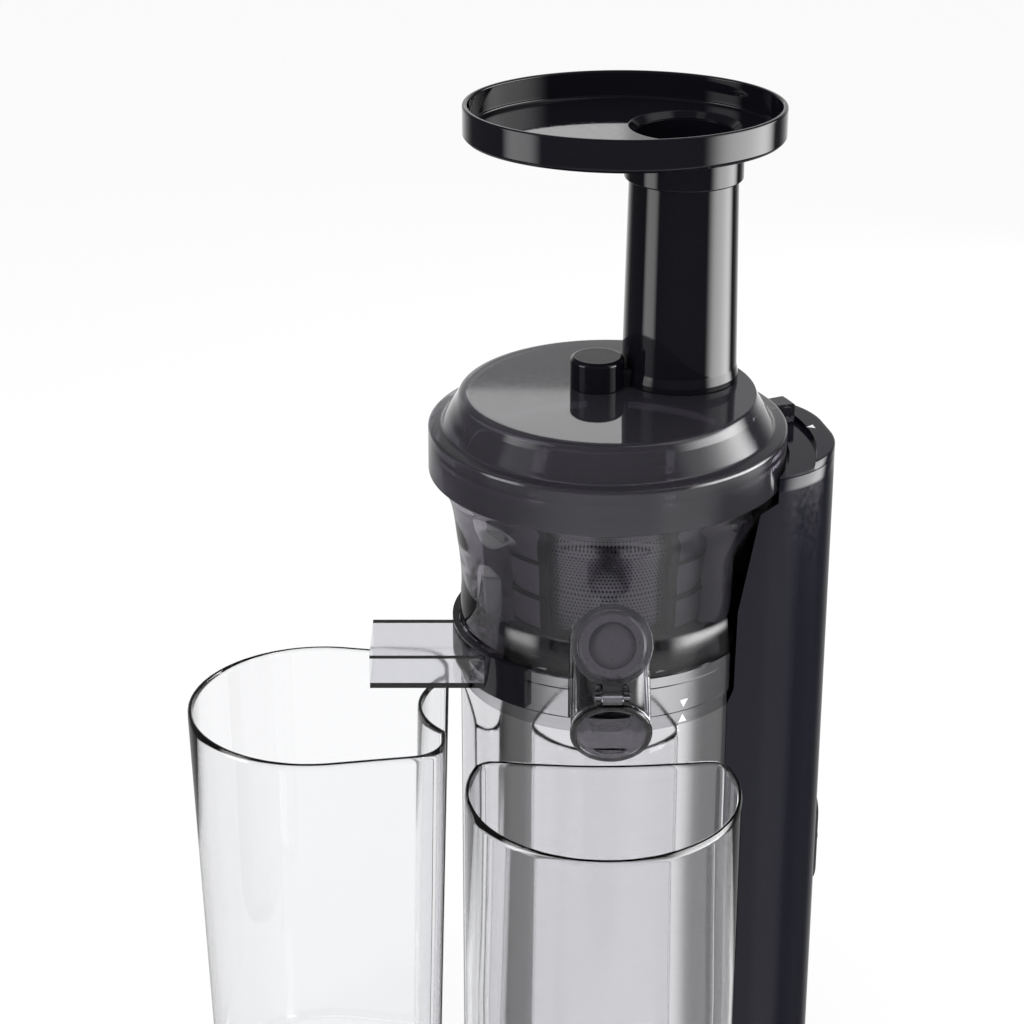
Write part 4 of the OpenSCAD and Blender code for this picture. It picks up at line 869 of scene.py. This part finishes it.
def makeCap(s):
    # Drawn shut before the mouth, then turned back about the hinge by the open angle
    flat = rounded(s["disc"], s["discRadius"], 5, closed=False)
    u = np.linspace(0, 2 * math.pi, 160, endpoint=False)
    grid = np.stack([mouthPoints(spoutForm, r, a, u) for r, a in flat], 1)
    hy, hz = hingeAt
    turn = -math.radians(s["open"])

    def fold(p):
        y, z = p[..., 1] - hy, p[..., 2] - hz
        return np.stack([p[..., 0], hy + y * math.cos(turn) - z * math.sin(turn),
                         hz + y * math.sin(turn) + z * math.cos(turn)], -1)

    place("capDisc", *skin(fold(grid), False), "smokeCap", "cap", "smoke_clear", ("juice_cap",))
    t = np.linspace(0, 2 * math.pi, 28, endpoint=False)
    ends = (-s["armHalf"], s["armHalf"])
    knuckle = [np.stack([np.full(28, x), hy + s["knuckle"] * np.cos(t), hz + s["knuckle"] * np.sin(t)], 1)
               for x in ends]
    place("capKnuckle", *barFrom(np.stack(knuckle)), "smokeCap", "cap", "smoke_clear")
    # the arm lies in the middle plane, so only y and z come from the mouth's frame
    line = np.array([mouthPoints(spoutForm, r, a, math.pi / 2) for r, a in s["arm"]])
    arm = [np.column_stack([np.full(len(line), x), line[:, 1:]]) for x in ends]
    place("capArm", *barFrom(fold(np.stack(arm))), "smokeCap", "cap", "smoke_clear")


makeCap(capForm)
print("spout and cap made")

screwForm = {
    "flightFrom": 235.1, "flightTo": 288.8, "footRadius": 34.1, "headRadius": 37.0, "core": 17.0,
    "waist": 0.8, "pitch": 25.0, "start": 130.0, "growOver": 1.6,
    # half the section: angle from the flight's middle, and share of the way from the core to the crest
    "section": [(0, 1), (10, 1), (20, 1), (29, 1), (31.4, 0.993), (33, 0.95), (34.2, 0.86), (35.4, 0.72),
                (37, 0.52), (39, 0.33), (41.5, 0.19), (45, 0.1), (50, 0.045), (58, 0), (68, 0), (80, 0),
                (95, 0), (120, 0), (150, 0), (180, 0)],
    # plain rows as radius and height: up the socket and out under the flight, then over the head and down
    "foot": [(0, 249.5), (9.05, 249.5), (9.05, 240), (9.05, 232.7), (9.3, 232.4), (22.6, 232.4), (23, 232.8),
             (23, 234.2), (21.6, 234.5), (17.2, 234.9)],
    "head": [(16.4, 289.2), (16, 290.2), (13.2, 294.4), (12.2, 296), (7.2, 297.8), (6.8, 298), (4.4, 298),
             (4.03, 297.7), (4.03, 252), (0, 252)],
}


def makeScrew(s):
    # Section in its own turning frame: a broad crest and hollow flanks. At height h it is turned back by
    # 360 h / pitch, and r = core + (crest - core) grow(h) share(phi)
    half, part = np.array(s["section"], float).T
    phi = np.concatenate([-half[:0:-1], half[:-1]])
    share = np.interp(np.abs(phi), half, part)
    z = np.linspace(s["flightFrom"], s["flightTo"], 260)
    h = z - s["flightFrom"]
    crest = s["footRadius"] + (s["headRadius"] - s["footRadius"]) * h / h[-1]
    core = s["core"] - s["waist"] * np.sin(math.pi * h / h[-1])
    # the flight grows out of the foot and into the head over a few millimetres
    grow = np.clip(np.minimum(h, h[-1] - h) / s["growOver"], 0, 1) ** 0.5
    r = core + (crest - core) * grow * share[:, None]
    theta = np.radians(phi[:, None] + s["start"] - 360 * h / s["pitch"])
    body = np.stack([r * np.cos(theta), r * np.sin(theta), np.broadcast_to(z, r.shape)], -1)

    def plainRows(rows, z0):
        return turned(rows, np.radians(phi + s["start"] - 360 * (z0 - s["flightFrom"]) / s["pitch"]))

    grid = np.concatenate([plainRows(s["foot"], s["flightFrom"]), body,
                           plainRows(s["head"], s["flightTo"])], 1)
    place("screwBody", *skin(grid, False), "screwResin", "screw", "screw_plastic", ("juicing_screw",))


makeScrew(screwForm)
print("screw made")

tower = {
    "turn": 12.0, "reach": 88.4, "halfWidth": 41.5, "corner": 36.0, "wall": 2.4,
    # plates: inset from the walls, underside and top
    "floorPlate": (2.4, 3.2, 5.4), "topPlate": (0.0, 296.8, 300.0),
    # radius of the round room for base, bowl and collar, and the height where it is reached
    "room": [(57.1, 3), (57.1, 204), (58.8, 210), (59.2, 243), (64.8, 283), (70.2, 287), (70.2, 300)],
    "switch": (118.0, 8.9, 20.9),              # height, half width and half height of the opening
    "notch": (18.0, 80.6, 297.8),              # angle where it ends, radius and floor
    "pin": (76.6, 11.0, 2.3),                  # radius, angle and size of the pin's hole
}


def roomRadius(s, z):
    return np.interp(z, [v[1] for v in s["room"]], [v[0] for v in s["room"]])


def towerEdge(s, inset, theta):
    # Distance of the plan's outer edge along a ray from the bowl's axis: end, round corner or side
    reach, side, r = s["reach"] - inset, s["halfWidth"] - inset, s["corner"] - inset
    mid = np.array([s["reach"], s["halfWidth"]]) - s["corner"]
    a = np.abs(theta)
    along = mid[0] * np.cos(a) + mid[1] * np.sin(a)
    bend = along + np.sqrt(np.maximum(along ** 2 - mid @ mid + r * r, 0))
    end, flank = reach / np.cos(a), side / np.maximum(np.sin(a), 1e-6)
    straight = np.where(a > math.atan2(side, mid[0]), flank, bend)
    return np.where(a < math.atan2(mid[1], reach), end, straight)


def towerTip(s, inset, room):
    # Angle at which the outer edge meets the round room
    theta = np.radians(np.linspace(20, 60, 801))
    return float(np.interp(-room, -towerEdge(s, inset, theta), theta))


def towerLoop(s, inset, z, columns):
    # Once round the plan at height z: the outer edge from tip to tip, then back along the round room
    room = roomRadius(s, z) + inset
    tip = towerTip(s, inset, room)
    theta = columns * tip
    back = np.linspace(tip, -tip, 72)[1:-1]
    theta, r = np.concatenate([theta, back]), np.concatenate([towerEdge(s, inset, theta), np.full(70, room)])
    theta = theta + math.radians(s["turn"])
    return np.stack([r * np.cos(theta), r * np.sin(theta), np.full(len(r), float(z))], 1)


def makeTowerBody(s):
    # Rows one millimetre apart past the switch, and farther apart elsewhere; its edges are drawn in a little
    columns = np.linspace(-1, 1, 171)
    zs, hw, hh = s["switch"]
    z = np.concatenate([[3.0, 3.3, 4.0], np.linspace(12, zs - 23, 9), np.arange(zs - 22, zs + 22.5, 1.0),
                        np.linspace(zs + 23, 204, 7), [207, 210, 221, 232, 243, 253, 263, 273, 283, 285, 287,
                                                       291, 295.9, 296.4, 296.6]])
    drawnIn = {3.0: 0.5, 3.3: 0.15, 296.4: 0.12, 296.6: 0.4}
    outer = np.stack([towerLoop(s, drawnIn.get(float(v), 0.0), v, columns) for v in z], 1)
    inner = np.stack([towerLoop(s, s["wall"], v, columns) for v in z], 1)
    mid = (outer[:, :-1] + np.roll(outer, -1, 0)[:, 1:]) / 2
    turn = math.radians(s["turn"])
    across = -mid[..., 0] * math.sin(turn) + mid[..., 1] * math.cos(turn)
    ahead = mid[..., 0] * math.cos(turn) + mid[..., 1] * math.sin(turn)
    away = np.abs(mid[..., 2] - zs)
    oval = np.hypot(across, np.maximum(away - (hh - hw), 0)) < hw
    opening = oval & (away < hh) & (ahead > s["reach"] - 3)
    place("towerBody", *wall(outer, inner, ~opening), "towerGloss", "base", "black_gloss", ("tower_shell",))


def placePlate(name, s, theta, reach, low, top, keep, stands=()):
    # A sheet over rays from the bowl's axis, from its flat underside to the given top
    turn = theta[:, None] + math.radians(s["turn"])
    x, y = reach * np.cos(turn), reach * np.sin(turn)
    sheets = np.stack([x, y, top], -1), np.stack([x, y, np.full_like(top, low)], -1)
    place(name, *wall(*sheets, keep, wrap=False), "towerGloss", "base", "black_gloss", stands)


def plateReach(s, inset, room, theta):
    # Reaches along each ray, held between the round room and the outer edge, closer beside the notch
    edge = towerEdge(s, inset, theta)
    notch = s["notch"][1]
    steps = np.concatenate([np.arange(room + 0.4, notch - 0.4, 0.36), [notch - 0.02, notch + 0.02],
                            np.linspace(notch + 0.8, s["reach"] + 3, 9)])
    rows = [np.full_like(theta, room), np.full_like(theta, room + 0.05)]
    rows += [np.minimum(k, edge - 1.0) for k in steps] + [edge - 0.6, edge - 0.2, edge]
    reach = np.maximum(np.stack(rows, 1), room)
    return np.minimum(reach, np.maximum(edge, room)[:, None])


def makeTowerPlates(s):
    inset, low, high = s["floorPlate"]
    room = roomRadius(s, low) + inset
    tip = towerTip(s, inset, room)
    theta = np.linspace(-tip, tip, 150)
    reach = plateReach(s, inset, room, theta)
    whole = np.ones((len(theta) - 1, reach.shape[1] - 1), bool)
    placePlate("towerFloor", s, theta, reach, low, np.full_like(reach, high), whole)
    # the top has a notch for the lid's tab, a rounded edge and a hole for the interlock's pin
    inset, low, high = s["topPlate"]
    room = roomRadius(s, low) + inset
    tip = towerTip(s, inset, room)
    notchTo, notchR, notchZ = s["notch"]
    pinR, pinA, pinSize = s["pin"]
    beside = np.radians([notchTo - 0.01, notchTo + 0.01])
    fine = np.radians(pinA + np.arange(-2.6, 2.61, 0.26))
    theta = np.unique(np.concatenate([np.linspace(-tip, tip, 150), beside, fine]))
    reach = plateReach(s, inset, room, theta)
    top = np.full_like(reach, high)
    top[:, -2:] = high - 0.12, high - 0.5
    top[(theta[:, None] < math.radians(notchTo)) & (reach < notchR)] = notchZ
    r = (reach[:-1, :-1] + reach[1:, 1:]) / 2
    a = (theta[:-1] + theta[1:])[:, None] / 2
    fromPin = np.hypot(r * np.cos(a) - pinR * math.cos(math.radians(pinA)),
                       r * np.sin(a) - pinR * math.sin(math.radians(pinA)))
    placePlate("towerTop", s, theta, reach, low, top, fromPin >= pinSize, ("tower_cap",))


makeTowerBody(tower)
makeTowerPlates(tower)
print("tower made")

marks = {
    # name: body, slot, kind, angle, radius, height, size, pointing
    "markBase": ("base", "dark_chrome", "side", -60.0, 56.72, 205.0, 3.4, 1),
    "markBowl": ("bowl", "dark_chrome", "side", -60.0, 57.32, 211.5, 3.4, -1),
    "markLid": ("lid", "smoke_clear", "top", 12.0, 64.9, 308.75, 2.0, 1),
    "markTower": ("base", "black_gloss", "top", 12.0, 83.4, 299.75, 2.0, -1),
}


def makeMarks(table):
    for name, (body, slot, kind, angle, radius, height, size, way) in table.items():
        a = math.radians(angle)
        out, along = np.array([math.cos(a), math.sin(a), 0]), np.array([-math.sin(a), math.cos(a), 0])
        up = np.array([0, 0, 1.0])
        if kind == "side":
            base = out * radius + up * (height + (0 if way > 0 else size))
            tri = [base - along * size * 0.55, base + along * size * 0.55, base + up * size * way]
            depth = out * 0.3
        else:
            base = out * radius + up * height
            tri = [base - along * size * 0.9, base + along * size * 0.9, base + out * size * 1.5 * way]
            depth = up * 0.3
        tri = np.array(tri)
        place(name, *barFrom(np.stack([tri, tri + depth])), "whiteInk", body, slot)


makeMarks(marks)
print("marks made")
